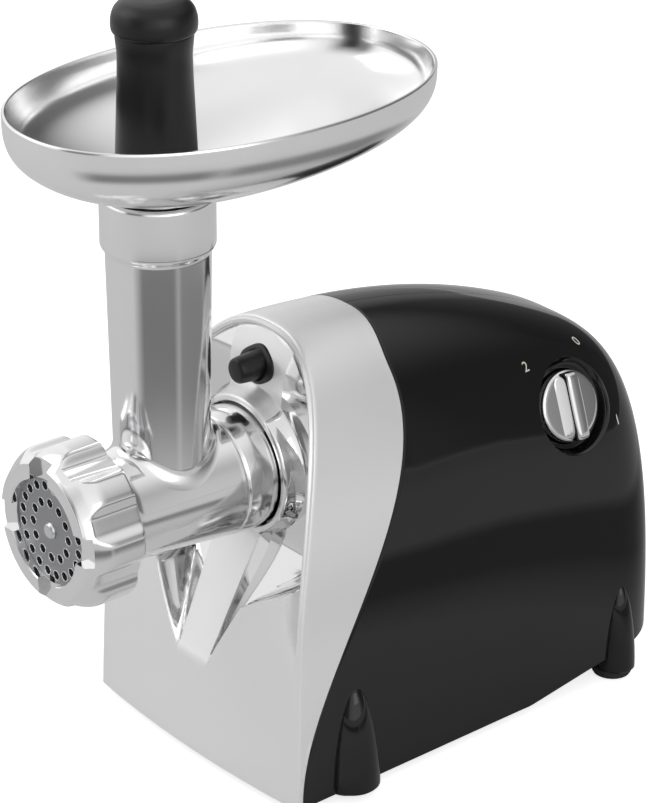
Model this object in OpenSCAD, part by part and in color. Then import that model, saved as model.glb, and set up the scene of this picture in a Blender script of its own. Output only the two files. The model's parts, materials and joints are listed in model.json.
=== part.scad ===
// Electric meat grinder: a black two-shell body with a chromed front mask, a cast
// grinding head that twists off, a tray, a pusher, and the motor and gears inside.
// X runs across the body, -Y is the end the meat comes out of, +Z is up.
// Inside the modules y = 0 is the centre line of the feed tube; place() shifts the
// whole machine so that the middle of its length is at the origin.

/* [Body] */
// Height of the barrel's centre line over the table
barrel_height = 147; // [143:1:153]
// Greatest width of the body, without the foot pods
body_width = 156; // [148:1:180]
// Height of the body's ridge over the table
body_top = 215.5; // [210:0.5:240]
// Height of the body's lower edge over the table
underside = 4; // [3:0.5:7]
// Rise of the underside at the rear of the body
rear_rise = 16.6; // [0:0.1:20]
// Distance from the feed tube's centre line back to the rear of the body
rear_reach = 272; // [262:1:310]
// Distance from the feed tube's centre line back to the foot of the front mask
nose_set_back = 13; // [9:1:15]
// Wall of the two black shells and of the mask
shell_wall = 2.8; // [2:0.1:3.5]
// Squareness of the body's arch at the mask, where 2 is an ellipse
arch_power = 2.5; // [2.2:0.1:3]

/* [Grinding head] */
// Outer radius of the barrel just behind the ring nut
barrel_r = 26; // [25:0.5:29]
// Radius of the barrel's bore
bore_r = 22.3; // [21:0.1:22.5]
// Reach of the barrel in front of the feed tube's centre line
barrel_reach = 62; // [58:1:76]
// Outer radius of the feed tube at its foot
tube_foot_r = 22.3; // [22:0.1:24]
// Outer radius of the feed tube under its collar
tube_head_r = 24.2; // [23.6:0.1:27]
// Bore radius of the feed tube
tube_bore_r = 20.6; // [19.5:0.1:20.8]
// Height of the tube's top face over the barrel's centre line
tube_rise = 142; // [125:1:170]
// Radius of the tail that sits in the socket
tail_r = 30; // [29:0.5:31]

/* [Cutting set] */
// Radius of the perforated plate
plate_r = 27; // [26:0.5:28]
// Thickness of the perforated plate
plate_t = 5; // [4:0.5:6]
// Radius of the plate's holes
hole_r = 2.2; // [1.2:0.1:2.4]
// Greatest radius of the ring nut, over its lobes
nut_r = 40; // [38:0.5:44]
// Length of the ring nut
nut_len = 30; // [26:1:34]
// Travel of the ring nut for each turn
nut_pitch = 3; // [2:0.5:4]

/* [Tray and pusher] */
// Length of the tray, front to back
tray_len = 216; // [190:1:260]
// Width of the tray
tray_width = 142; // [130:1:170]
// Depth of the tray
tray_depth = 48; // [36:1:56]
// Thickness of the tray's sheet
tray_sheet = 1.5; // [1.2:0.1:2]
// Distance of the tray's centre behind the feed tube
tray_offset = 38; // [20:1:44]
// Radius of the pusher at its lower end
pusher_foot_r = 18.6; // [17:0.1:18.8]
// Radius of the pusher under its cap
pusher_neck_r = 15.2; // [14:0.1:16.5]
// Height of the pusher's cap over the tube's top face
pusher_rise = 98; // [90:1:120]

/* [Controls and feet] */
// Radius of the control knob
knob_r = 18; // [15:0.5:20]
// Tilt of the knob's axis above level
knob_tilt = 20; // [10:1:26]
// Radius of the lock button
lock_r = 8; // [6:0.5:9]
// Travel of the lock button
lock_travel = 5; // [3:0.5:6]
// Radius of the rubber feet
foot_r = 10; // [8:0.5:11]
// Radius of the front pods, over the feet
pod_r = 13.5; // [12:0.5:15]
// Radius of the rear pods
rear_pod_r = 9.5; // [9.5:0.5:13]

/* [Drive] */
// Radius of the motor's stator
stator_r = 34; // [30:1:36]
// Length of the stator's lamination stack
stack_len = 40; // [34:1:44]
// Teeth of the motor's pinion
motor_teeth = 10; // [10:1:12]
// Teeth of the first wheel
wheel_a_teeth = 45; // [40:1:46]
// Teeth of the pinion beside the first wheel
pinion_a_teeth = 12; // [12:1:14]
// Teeth of the second wheel
wheel_b_teeth = 42; // [38:1:44]
// Teeth of the pinion beside the second wheel
pinion_b_teeth = 12; // [12:1:14]
// Teeth of the wheel on the output shaft
output_teeth = 40; // [38:1:42]
// Tooth module of the motor's stage
module_a = 0.8; // [0.8:0.05:0.9]
// Tooth module of the middle stage
module_b = 1; // [1:0.05:1.1]
// Tooth module of the output stage
module_c = 1.25; // [1.2:0.05:1.3]

/* [Hidden] */
$fn = 64;

fit = 0.05;        // radial clearance of a running fit
gap = 0.3;         // clearance between pieces that only meet
far = 400;         // reach of a cutting solid

nut_lip = 4.6;     // lip of the ring nut in front of the plate
plate_front = -(barrel_reach + 1.3);
nut_front = plate_front - nut_lip;
plate_back = plate_front + plate_t;
knife_t = 7;
knife_gap = 0.1;
knife_back = plate_back + knife_gap + knife_t;
screw_front = knife_back;
thread_r = plate_r + 4;
shoulder_y = 28;   // seam between the barrel and its shoulder
collar_y = 45;     // front face of the mask's collar
tail_end = 62;     // rear face of the head
head_wall = 12;    // wall at the rear of the head
screw_end = tail_end - head_wall - 4;
socket_y = 54;
socket_floor = 66;
socket_back = 71;
front_plate_y = 88;
plate_wall = 3;
plane_c = 93;      // front faces of the three planes of gears
plane_b = 106.5;
plane_a = 114;
rear_plate_y = 122;
wide_c = 12;       // widths of the gears in them
wide_b = 6;
wide_a = 6;
tube_top = barrel_height + tube_rise;

function clip(v, low, high) = min(max(v, low), high);
function ease(t) = let (c = clip(t, 0, 1)) c * c * (3 - 2 * c);

front_end = min(nut_front, tray_offset - tray_len / 2);
module place() { translate([0, -(rear_reach + front_end) / 2, 0]) children(); }
module along_y(y) { translate([0, y, 0]) rotate([-90, 0, 0]) children(); }
module on_barrel(y) { translate([0, 0, barrel_height]) along_y(y) children(); }
module rod(r, y0, y1) { along_y(y0) cylinder(r = r, h = y1 - y0); }
module both_sides() { children(); mirror([1, 0, 0]) children(); }
// One moulding, cut and joined as a surface of facets
module moulding() { resize([0, 0, 0]) children(); }

// Closed skin through rings that all have the same number of points and run clockwise,
// seen from the last ring
module skin(rings) {
    n = len(rings[0]);
    m = len(rings);
    polyhedron(
        points = [for (r = rings) each r],
        faces = [
            [for (i = [n - 1:-1:0]) i],
            [for (i = [0:n - 1]) (m - 1) * n + i],
            for (j = [0:m - 2]) for (i = [0:n - 1])
                let (a = j * n + i, b = j * n + (i + 1) % n) each [[a, b, a + n], [b, b + n, a + n]]
        ]);
}

// ---- the body's form: an arch that is carried from the mask to the rounded rear ----
rear_round = 46;
ridge_start = 62;
function rear_k(y) = clip((y - (rear_reach - rear_round)) / rear_round, 0, 1);
function half_w(y) = (body_width / 2 - 2.5 * clip((y - 20) / 140, 0, 1))
    * pow(1 - pow(rear_k(y), 2.6), 1 / 2.6);
function ridge(y) = let (t = clip((y - ridge_start) / 356, 0, 1)) body_top - 300 * (1 - sqrt(1 - t * t));
function crown(y) = let (top = ridge(y), mid = (top + underside) / 2)
    mid + (top - mid) * pow(1 - pow(rear_k(y), 3.5), 1 / 3.5);
function power(y) = arch_power + 0.4 * clip((y - 100) / 150, 0, 1);
function arch_point(y, a, t) = let (
        n = power(y + t),
        w = max(half_w(y + t) - t, 0.5),
        h = max(crown(y + t) - t - underside, 1))
    [w * sign(cos(a)) * pow(abs(cos(a)), 2 / n), y, underside + h * pow(max(sin(a), 0), 2 / n)];
arch_steps = 26;
function arch_ring(y, t) = concat(
    [for (i = [0:arch_steps]) arch_point(y, 180 * i / arch_steps, t)],
    t > 0 ? [for (a = [180, 0]) [arch_point(y, a, t)[0], y, -2]] : []);
function stations(t) = concat(
    [nose_set_back - 4, 40, 62, 85, 110, 140, 170, 200, rear_reach - rear_round - t],
    [for (a = [18:12:78]) rear_reach - t - rear_round * (1 - sin(a))], [rear_reach - t - 0.02]);
module form(t) { skin([for (y = stations(t)) arch_ring(y, t)]); }
rise_start = 168;  // where the underside starts to rise
function rise(y) = rear_rise * max(y - rise_start, 0) / (rear_reach - rise_start);
// Everything that is higher over the underside than up, from x0 on
module above_underside(up, x0) {
    end = rear_reach + 20;
    translate([x0, 0, 0]) rotate([90, 0, 90]) linear_extrude(2 * far) polygon([[-far, underside + up],
        [rise_start, underside + up], [end, underside + up + rise(end)], [end, far], [-far, far]]);
}

// Side view of the joint between the mask and the shells
function joint_y(z) = 21 + 82 * ease((z - 7) / 186) + 8 * pow(clip((z - 195) / 20, 0, 2), 2);
module behind_joint(shift) {
    rotate([90, 0, 90]) translate([0, 0, -far / 2]) linear_extrude(far) polygon(concat(
        [[far, -10]], [for (z = [-10, 7, for (i = [1:20]) 7 + i * 10.5]) [joint_y(z) + shift, z]],
        [[joint_y(body_top) + shift, far], [far, far]]));
}

// ---- the mask's front ----
mask_lean_z = 60;
floor_y = 55;
rim = 3.5;
keel_foot = 53;
keel_half = 11;
lip_side = 33;
function panel_y(x, z) = nose_set_back + 4.6 * pow(x / (body_width / 2), 2) + 0.04 * (z - underside)
    + 42 * pow(max(z - mask_lean_z, 0) / (215 - mask_lean_z), 1.9);
// Height of the lip where the panel turns into the recess
function lip_z(x) = keel_foot + 1.8 * clip(abs(x) - keel_half, 0, lip_side - keel_half)
    + 0.56 * max(abs(x) - lip_side, 0);
function recess_y(x, z) = let (
        soft = 4 + 10 * clip((abs(x) - lip_side) / 30, 0, 1),
        deep = min(floor_y, nose_set_back + 1 + 0.7 * (z - keel_foot)),
        face = panel_y(x, z), over = z - lip_z(x))
    face + (over < 0 ? -1.5 : max(deep - face, -1.5) * ease(over / soft));
// Everything in front of the surface through rows of points that run from -X to +X
module in_front(rows) {
    skin([for (r = rows) let (last = r[len(r) - 1])
        concat(r, [[last[0], -far, last[2]], [r[0][0], -far, r[0][2]]])]);
}
module panel_front() {
    in_front([for (z = [-15:15:225]) [for (x = [-90:18:90]) [x, panel_y(x, z), z]]]);
}
recess_top = 225;
module recess_front() {
    cols = [-84, -70, -58, -48, -40, -33, -27, -22, -16.5, -11, -5.5, 0,
        5.5, 11, 16.5, 22, 27, 33, 40, 48, 58, 70, 84];
    in_front(concat(
        [for (z = [44, -3]) [for (x = cols) let (h = z > 0 ? z : lip_z(x) + z) [x, panel_y(x, h) - 1.5, h]]],
        [for (t = [0, 0.02, 0.045, 0.08, 0.13, 0.2, 0.28, 0.38, 0.5, 0.64, 0.8, 1])
            [for (x = cols) let (z = lip_z(x) + t * (recess_top - lip_z(x))) [x, recess_y(x, z), z]]]));
}
// The rib under the neck; the hollow behind it is inset from it and its top is lower
module keel(inset, drop) {
    foot = keel_half - inset;
    head = keel_half + 4 - inset;
    top = barrel_height - tail_r - 1 - drop;
    foot_y = nose_set_back + 0.8 + inset;
    head_y = collar_y + inset - drop / 2;
    back = floor_y + 2;
    low = keel_foot - inset;
    skin([
        [[foot, foot_y, low], [-foot, foot_y, low], [-foot, back, low], [foot, back, low]],
        [[head, head_y, top], [-head, head_y, top], [-head, back, top], [head, back, top]]]);
}
lock_z = barrel_height + 48.5;
lock_stop = 60.5;
lock_flange_r = lock_r + 1.6;
socket_r = 37;
module front_mask() {
    wall = shell_wall;
    color("silver") moulding() difference() {
        union() {
            difference() {
                form(0);
                behind_joint(-gap / 2);
                panel_front();
                intersection() {
                    form(rim);
                    recess_front();
                }
                difference() {
                    form(wall);
                    translate([0, wall, 0]) panel_front();
                    intersection() {
                        form(0.5);
                        translate([0, wall, -wall]) recess_front();
                    }
                }
            }
            keel(0, 0);
            // collar round the neck
            on_barrel(collar_y) rotate_extrude() polygon([[tail_r + 1, 0.8], [tail_r + 1.6, 0],
                [tail_r + 3.6, 0], [tail_r + 4.5, 1], [tail_r + 5.5, 6], [socket_r + 4, 13],
                [socket_r + 2.4, 13.4], [tail_r + 1, 13.4]]);
        }
        keel(wall, 12);
        on_barrel(0) cylinder(r = tail_r + 1, h = far);
        on_barrel(socket_y - gap) cylinder(r = socket_r + gap, h = 40);
        translate([0, 0, lock_z]) {
            rod(lock_r + gap, 0, 80);
            rod(lock_flange_r + gap, lock_stop, 80);
        }
    }
}

// ---- the two shells ----
foot_x = body_width / 2 - 8;
// Each pod's place across and along, radius and height
pods = [[body_width / 2 - 4, nose_set_back + 41, pod_r, 53],
    [body_width / 2 - 5, rear_reach - 43, rear_pod_r, 47]];
knob_at = [body_width / 2 - 23, rear_reach - 64, 149];
knob_dish_r = knob_r + 6.5;
knob_sunk = 5;
module knob_frame() { translate(knob_at) rotate([0, 90 - knob_tilt, 0]) children(); }
low_boss_z = 22;
boss_at = [[138, 190], [rear_reach - 32, 150], [190, low_boss_z], [110, low_boss_z]];
boss_r = 4.5;
gland_z = 34;
gland_x = -34;
gland_seat = rear_reach - 9.2;
gland_r = 8;
peg_r = 5;         // peg of a rubber foot, in its pod
peg_top = 10;
module pod(p) {
    translate([p[0], p[1], underside]) rotate_extrude($fn = 24)
        polygon([[0, 0], for (i = [0:5]) [p[2] * sqrt(1 - pow(i / 6, 1.7)), p[3] * i / 6], [0, p[3]]]);
}
module foot_spots() {
    for (sx = [-1, 1]) for (p = pods) translate([sx * foot_x, p[1], 0]) children();
}
module shell_half() {
    difference() {
        union() {
            intersection() {
                union() {
                    difference() {
                        form(0);
                        form(shell_wall);
                    }
                    intersection() {
                        form(0.5);
                        for (b = boss_at) translate([0, b[0], b[1]]) rotate([0, 90, 0])
                            cylinder(r = boss_r, h = 90, $fn = 16);
                    }
                }
                behind_joint(gap / 2);
                above_underside(0, 0);
            }
            for (p = pods) pod(p);
        }
        foot_spots() {
            cylinder(r = peg_r + gap, h = peg_top + gap, $fn = 16);
            cylinder(r = 1.6, h = peg_top + 5, $fn = 12);
        }
    }
}
module housing_right() {
    color([0.05, 0.05, 0.06]) moulding() difference() {
        union() {
            shell_half();
            intersection() {
                form(0.5);
                knob_frame() translate([0, 0, -knob_sunk - 3])
                    cylinder(r = knob_dish_r + 3, h = 20, $fn = 36);
            }
        }
        knob_frame() translate([0, 0, -knob_sunk]) cylinder(r = knob_dish_r, h = 40, $fn = 36);
        knob_frame() translate([0, 0, -30]) cylinder(r = 5 + gap, h = 40, $fn = 24);
        for (b = boss_at) translate([-1, b[0], b[1]]) rotate([0, 90, 0]) cylinder(r = 1.6, h = 16, $fn = 12);
    }
}
module housing_left() {
    color([0.05, 0.05, 0.06]) moulding() difference() {
        mirror([1, 0, 0]) shell_half();
        for (b = boss_at) translate([1, b[0], b[1]]) rotate([0, -90, 0]) {
            cylinder(r = 1.8, h = 100, $fn = 12);
            translate([0, 0, 12]) cylinder(r = 3.4, h = 100, $fn = 12);
        }
        translate([gland_x, 0, gland_z]) rod(gland_r + 0.1, gland_seat - 3, far);
    }
}
module housing_screws() {
    color("dimgray") for (b = boss_at) translate([0, b[0], b[1]]) rotate([0, -90, 0]) {
        translate([0, 0, -12]) cylinder(r = 1.5, h = 24);
        translate([0, 0, 12]) cylinder(r = 3, h = 2.2);
    }
}

// ---- base, feet and their screws ----
base_z = underside + 0.2;
base_t = 3;
base_inset = shell_wall + gap;
base_front = nose_set_back + 12;
function base_outline() = let (
        ys = [base_front, 60, 110, 160, 200, rear_reach - rear_round,
            for (a = [20:15:80]) rear_reach - base_inset - rear_round * (1 - sin(a))],
        side = [for (y = ys) [half_w(y + base_inset) - base_inset, y]])
    concat(side, [for (i = [len(side) - 1:-1:0]) [-side[i][0], side[i][1]]]);
saddle_x = 40;
base_low = base_z - underside;
base_high = base_low + base_t;
module base_plate() {
    color([0.07, 0.07, 0.08]) difference() {
        intersection() {
            union() {
                difference() {
                    translate([0, 0, base_z]) linear_extrude(base_t + 2 * rear_rise + 1)
                        polygon(base_outline());
                    above_underside(base_high, -far);
                }
                for (sx = [-1, 1]) for (b = boss_at) if (b[1] == low_boss_z)
                    translate([sx * saddle_x - 6, b[0] - 6, base_z]) cube([12, 12, low_boss_z - 1 - base_z]);
            }
            above_underside(base_low, -far);
        }
        for (sx = [-1, 1]) for (p = pods) translate([sx * p[0], p[1], -1]) cylinder(r = p[2] + 1.2, h = 30);
        for (i = [0:9]) translate([-30, 140 + i * 8, -1]) cube([60, 3.5, 20]);
        for (b = boss_at) translate([-80, b[0], b[1]]) rotate([0, 90, 0]) cylinder(r = boss_r + gap, h = 160);
    }
}
module rubber_feet() {
    color([0.08, 0.08, 0.08]) foot_spots() difference() {
        union() {
            cylinder(r = foot_r - 0.6, h = 1);
            translate([0, 0, 1]) cylinder(r = foot_r, h = underside - 1);
            translate([0, 0, underside]) cylinder(r = peg_r, h = peg_top - underside);
        }
        translate([0, 0, -1]) cylinder(r = 3.4, h = 4);
        cylinder(r = 1.6, h = 12);
    }
}
module foot_screws() {
    color("dimgray") foot_spots() {
        translate([0, 0, 1]) cylinder(r = 3, h = 2);
        translate([0, 0, 3]) cylinder(r = 1.5, h = peg_top + 1);
    }
}

// ---- socket, lock and gearbox ----
lug_r = tail_r + 3;
lug_y = 56.5;
lug_t = 4;
lug_span = 22;
twist = 35;
// A piece of a ring, from one angle to another less than half a turn on
module sector(r0, r1, h, a0, a1) {
    intersection() {
        difference() {
            cylinder(r = r1, h = h);
            translate([0, 0, -1]) cylinder(r = r0, h = h + 2);
        }
        translate([0, 0, -1]) linear_extrude(h + 2)
            polygon(concat([[0, 0]],
                [for (i = [0:4]) let (a = a0 + (a1 - a0) * i / 4) [2 * r1 * cos(a), 2 * r1 * sin(a)]]));
    }
}
post_pcd = 82;
socket_post_a = [45, 135, 225, 315];
module head_socket() {
    color([0.75, 0.76, 0.78]) difference() {
        union() {
            on_barrel(socket_y) cylinder(r = socket_r, h = socket_back - socket_y);
            on_barrel(socket_floor) cylinder(r = post_pcd / 2 + 4, h = socket_back - socket_floor);
        }
        on_barrel(socket_y - 1) cylinder(r = tail_r + fit, h = socket_floor - socket_y + 1);
        on_barrel(lug_y - 0.2) cylinder(r = lug_r + gap, h = lug_t + 0.4);
        for (k = [0:2]) on_barrel(socket_y - 1) rotate([0, 0, k * 120 - twist])
            sector(tail_r - 1, lug_r + gap + 0.2, lug_y - socket_y + 2, -lug_span / 2 - 2, lug_span / 2 + 2);
        on_barrel(0) cylinder(r = 12, h = far);
        for (a = socket_post_a) on_barrel(0) rotate([0, 0, a]) translate([post_pcd / 2, 0, 0])
            cylinder(r = 2.1, h = far);
        translate([0, 0, barrel_height + latch_r]) rod(latch_pin_r + gap, 0, far);
        translate([0, 0, lock_z]) rod(lock_flange_r + 2 * gap, socket_floor - 1, far);
    }
}
module socket_screws() {
    color("dimgray") for (a = socket_post_a) on_barrel(0) rotate([0, 0, a]) translate([post_pcd / 2, 0, 0]) {
        translate([0, 0, socket_floor - 3]) cylinder(r = 3.5, h = 3);
        translate([0, 0, socket_floor]) cylinder(r = 2, h = front_plate_y + plate_wall - socket_floor);
    }
}
latch_r = 26;
latch_pin_r = 2;
latch_y = 74;
latch_t = 2;
stem_r = 3;
module lock_button() {
    color([0.06, 0.06, 0.07]) translate([0, 0, lock_z]) {
        rod(lock_r - 0.8, 42, 43);
        rod(lock_r, 43, lock_stop + gap);
        rod(lock_flange_r, lock_stop + gap, lock_stop + gap + 2);
        rod(stem_r, lock_stop + gap + 2, front_plate_y + plate_wall + 3);
    }
}
module lock_latch() {
    color("silver") difference() {
        union() {
            translate([-6, latch_y, barrel_height + latch_r - 4])
                cube([12, latch_t, lock_z - barrel_height - latch_r + 11]);
            translate([0, 0, barrel_height + latch_r]) rod(latch_pin_r, tail_end - 3.5, latch_y);
        }
        translate([0, 0, lock_z]) rod(stem_r, 0, far);
    }
}
spring_r = 5;
spring_wire = 0.7;
spring_turns = 5;
module lock_spring() {
    y0 = latch_y + latch_t + spring_wire;
    y1 = front_plate_y - spring_wire;
    steps = spring_turns * 12;
    color("silver") translate([0, 0, lock_z]) skin([for (i = [0:steps])
        let (a = i * 30, y = y0 + (y1 - y0) * i / steps)
        [for (k = [0:5]) [(spring_r + spring_wire * cos(k * 60)) * cos(a), y - spring_wire * sin(k * 60),
            (spring_r + spring_wire * cos(k * 60)) * sin(a)]]]);
}
// centres of the gear shafts, worked out from the teeth
centre_c = module_c * (output_teeth + pinion_b_teeth) / 2;
centre_b = module_b * (wheel_b_teeth + pinion_a_teeth) / 2;
centre_a = module_a * (wheel_a_teeth + motor_teeth) / 2;
lean_c = 25;
lean_b = -35;
b_at = [centre_c * sin(lean_c), barrel_height - centre_c * cos(lean_c)];
a_at = [b_at[0] + centre_b * sin(lean_b), b_at[1] - centre_b * cos(lean_b)];
lean_a = asin(-a_at[0] / centre_a);
motor_z = a_at[1] - centre_a * cos(lean_a);
module at(p, y) { translate([p[0], 0, p[1]]) along_y(y) children(); }
pin_r = 3;
out_r = 8;
box_w = 64;
box_posts = [[-27, 40], [27, 40], [-40, 135], [40, 135]];
bush_r = 11;
bolt_x = stator_r - 3.3;
module round_bolts() { for (a = [45:90:315]) rotate([0, 0, a]) translate([bolt_x, 0, 0]) children(); }
module plate_outline() {
    polygon(concat(
        [for (a = [-20:20:200]) [(post_pcd / 2 + 5) * cos(a), barrel_height + (post_pcd / 2 + 5) * sin(a)]],
        [[-box_w / 2, motor_z + 20], [-box_w / 2, base_z + base_t], [box_w / 2, base_z + base_t],
            [box_w / 2, motor_z + 20]]));
}
// A pressed plate with holes for the bush, the pins and the posts; the first child is
// cut from it and the second, where there is one, adds to its outline
module gear_plate(y) {
    translate([0, y + plate_wall, 0]) rotate([90, 0, 0]) linear_extrude(plate_wall) difference() {
        union() {
            plate_outline();
            if ($children > 1) children(1);
        }
        translate([0, barrel_height]) circle(r = bush_r);
        translate(b_at) circle(r = pin_r);
        translate(a_at) circle(r = pin_r);
        for (p = box_posts) translate(p) circle(r = 2.1);
        children(0);
    }
}
module gearbox_front_plate() {
    color([0.7, 0.7, 0.72]) gear_plate(front_plate_y) {
        union() {
            for (a = socket_post_a) translate([0, barrel_height]) rotate(a) translate([post_pcd / 2, 0])
                circle(r = 2.1);
            translate([0, lock_z]) circle(r = stem_r + fit);
        }
        translate([0, lock_z]) circle(r = spring_r + spring_wire + 3);
    }
}
module gearbox_rear_plate() {
    color([0.7, 0.7, 0.72]) gear_plate(rear_plate_y) {
        translate([0, motor_z]) {
            circle(r = 9);
            round_bolts() circle(r = 1.6);
        }
    }
}
module gearbox_posts() {
    color([0.66, 0.67, 0.7]) {
        for (p = box_posts) at(p, 0) {
            difference() {
                translate([0, 0, front_plate_y + plate_wall])
                    cylinder(r = 4, h = rear_plate_y - front_plate_y - plate_wall);
                cylinder(r = 2.1, h = far);
            }
            translate([0, 0, front_plate_y - 3]) cylinder(r = 3.6, h = 3);
            translate([0, 0, front_plate_y])
                cylinder(r = 2, h = rear_plate_y + plate_wall - front_plate_y + 3);
        }
        for (a = socket_post_a) on_barrel(socket_back) rotate([0, 0, a]) translate([post_pcd / 2, 0, 0])
            difference() {
                cylinder(r = 4, h = front_plate_y - socket_back);
                translate([0, 0, -1]) cylinder(r = 2.1, h = far);
            }
    }
}
module bearing_bushes() {
    color([0.72, 0.55, 0.3]) for (y = [front_plate_y, rear_plate_y]) on_barrel(y) difference() {
        cylinder(r = bush_r, h = plate_wall);
        translate([0, 0, -1]) cylinder(r = out_r + fit, h = plate_wall + 2);
    }
}
// Pins of the two double gears, with the sleeves that keep the gears in their planes
module gear_pin(p, y0, y1) {
    at(p, front_plate_y) cylinder(r = pin_r, h = rear_plate_y + plate_wall - front_plate_y);
    at(p, front_plate_y + plate_wall) cylinder(r = pin_r + 2, h = y0 - front_plate_y - plate_wall - gap);
    at(p, y1 + gap) cylinder(r = pin_r + 2, h = rear_plate_y - y1 - gap);
}
module gear_pins() {
    color("silver") {
        gear_pin(a_at, plane_b, plane_a + wide_a);
        gear_pin(b_at, plane_c, plane_b + wide_b);
    }
}

// ---- gears: involute flanks on a 25 degree rack ----
pressure = 25;
backlash = 0.05;   // taken off each flank
function flank(rb, r) = let (q = sqrt(max(r * r / (rb * rb) - 1, 0))) q * 180 / PI - atan(q);
function gear_profile(n, m) = let (
        rp = n * m / 2, rb = rp * cos(pressure), ra = rp + 0.8 * m, rf = rp - 1.1 * m,
        half = 90 / n - backlash / rp * 180 / PI + flank(rb, rp),
        r1 = max(rb, rf + 0.05), radii = [for (i = [0:3]) r1 + (ra - r1) * i / 3],
        foot = half - flank(rb, r1))
    [for (k = [0:n - 1]) let (a = 360 * k / n) each concat(
        [[rf, a - foot]],
        [for (r = radii) [r, a - half + flank(rb, r)]],
        [for (i = [3:-1:0]) [radii[i], a + half - flank(rb, radii[i])]],
        [[rf, a + foot]])];
module gear_shape(n, m) { polygon([for (p = gear_profile(n, m)) [p[0] * cos(p[1]), p[0] * sin(p[1])]]); }
// A gear turned so that one tooth (or one gap) points along the given direction
module gear(n, m, h, toward, on_gap = false) {
    rotate([0, 0, toward + (on_gap ? 180 / n : 0)]) linear_extrude(h) gear_shape(n, m);
}
// along_y() turns the drawing plane so that its Y points down: directions are given that way
function dir(p, q) = atan2(-(q[1] - p[1]), q[0] - p[0]);
o_at = [0, barrel_height];
m_at = [0, motor_z];
module output_gear() {
    color([0.72, 0.73, 0.75]) difference() {
        at(o_at, plane_c) gear(output_teeth, module_c, wide_c, dir(o_at, b_at));
        on_barrel(0) cylinder(r = out_r, h = far);
        for (k = [0:5]) on_barrel(0) rotate([0, 0, k * 60]) translate([15.5, 0, 0]) cylinder(r = 3, h = far);
    }
}
module gear_cluster_b() {
    color([0.72, 0.73, 0.75]) difference() {
        union() {
            at(b_at, plane_c) gear(pinion_b_teeth, module_c, plane_b - plane_c, dir(b_at, o_at), true);
            at(b_at, plane_b) gear(wheel_b_teeth, module_b, wide_b, dir(b_at, a_at));
        }
        at(b_at, 0) cylinder(r = pin_r + fit, h = far);
    }
}
module gear_cluster_a() {
    color([0.9, 0.88, 0.8]) difference() {
        union() {
            at(a_at, plane_b) gear(pinion_a_teeth, module_b, plane_a - plane_b, dir(a_at, b_at), true);
            at(a_at, plane_a) gear(wheel_a_teeth, module_a, wide_a, dir(a_at, m_at));
        }
        at(a_at, 0) cylinder(r = pin_r + fit, h = far);
    }
}
motor_shaft_r = 2.5;
module motor_pinion() {
    color([0.75, 0.76, 0.78]) difference() {
        at(m_at, plane_a - 0.5) gear(motor_teeth, module_a, wide_a + 1, dir(m_at, a_at), true);
        at(m_at, 0) cylinder(r = motor_shaft_r, h = far);
    }
}
hex_r = 6.2;
shaft_end = socket_floor + 4;
module output_shaft() {
    gear_end = plane_c + wide_c;
    color("silver") difference() {
        union() {
            on_barrel(tail_end - 4) cylinder(r = hex_r, h = shaft_end - tail_end + 4, $fn = 6);
            on_barrel(shaft_end) cylinder(r = out_r, h = rear_plate_y + plate_wall + 3 - shaft_end);
            on_barrel(front_plate_y + plate_wall + gap)
                cylinder(r = out_r + 3, h = plane_c - front_plate_y - plate_wall - gap);
            on_barrel(gear_end) cylinder(r = out_r + 2, h = rear_plate_y - gear_end - gap);
        }
        on_barrel(tail_end - 5) cylinder(r = 1.5, h = 12);
    }
}

// ---- motor ----
motor_y = rear_plate_y + plate_wall;
bracket_t = 4;
stack_y = motor_y + 13;
stack_end = stack_y + stack_len;
comm_y = stack_end + 9;
comm_len = 14;
rear_bracket_y = comm_y + comm_len + 4;
shaft_tail = rear_bracket_y + bracket_t + 14;
rotor_r = 17.8;
air = 0.5;
coil_in = rotor_r + 2.5;
coil_out = coil_in + 7;
spacer_r = 3;
brush_r = 8.5;
module on_motor(y) { at(m_at, y) children(); }
module stator_core() {
    color([0.5, 0.5, 0.53]) difference() {
        on_motor(stack_y) cylinder(r = stator_r, h = stack_len);
        on_motor(0) cylinder(r = rotor_r + air, h = far);
        for (a = [-33, 147]) on_motor(stack_y - 1) sector(rotor_r, coil_out + 0.2, stack_len + 2, a, a + 66);
        on_motor(0) round_bolts() cylinder(r = 1.8, h = far);
    }
}
module field_coils() {
    color([0.72, 0.38, 0.18]) for (side = [0, 180]) on_motor(0) rotate([0, 0, side]) {
        translate([0, 0, stack_y]) sector(coil_in, coil_out, stack_len, 3, 31);
        translate([0, 0, stack_y]) sector(coil_in, coil_out, stack_len, 149, 177);
        translate([0, 0, stack_y - 5]) sector(coil_in, coil_out, 5, 3, 177);
        translate([0, 0, stack_end]) sector(coil_in, coil_out, 5, 3, 177);
    }
}
// An end bracket with windows round the bearing, and its four spacers to the stack
module bracket(y, windows, spacer_y) {
    difference() {
        union() {
            on_motor(y) cylinder(r = stator_r, h = bracket_t);
            on_motor(min(y, spacer_y)) round_bolts() cylinder(r = spacer_r, h = abs(y - spacer_y));
        }
        on_motor(0) cylinder(r = motor_shaft_r + fit, h = far);
        on_motor(0) round_bolts() cylinder(r = 1.6, h = far);
        for (a = windows) on_motor(y - 1) sector(14, stator_r - 7, bracket_t + 2, a - 24, a + 24);
    }
}
module motor_front_bracket() {
    color([0.7, 0.71, 0.73]) bracket(motor_y, [0, 90, 180, 270], stack_y);
}
module motor_rear_bracket() {
    color([0.7, 0.71, 0.73]) bracket(rear_bracket_y, [90, 270], stack_end);
}
module motor_bolts() {
    color("dimgray") on_motor(0) round_bolts() {
        translate([0, 0, rear_plate_y]) cylinder(r = 1.5, h = rear_bracket_y + bracket_t - rear_plate_y);
        translate([0, 0, rear_bracket_y + bracket_t]) cylinder(r = 2.8, h = 2);
    }
}
mount_y = rear_bracket_y - 1;
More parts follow.
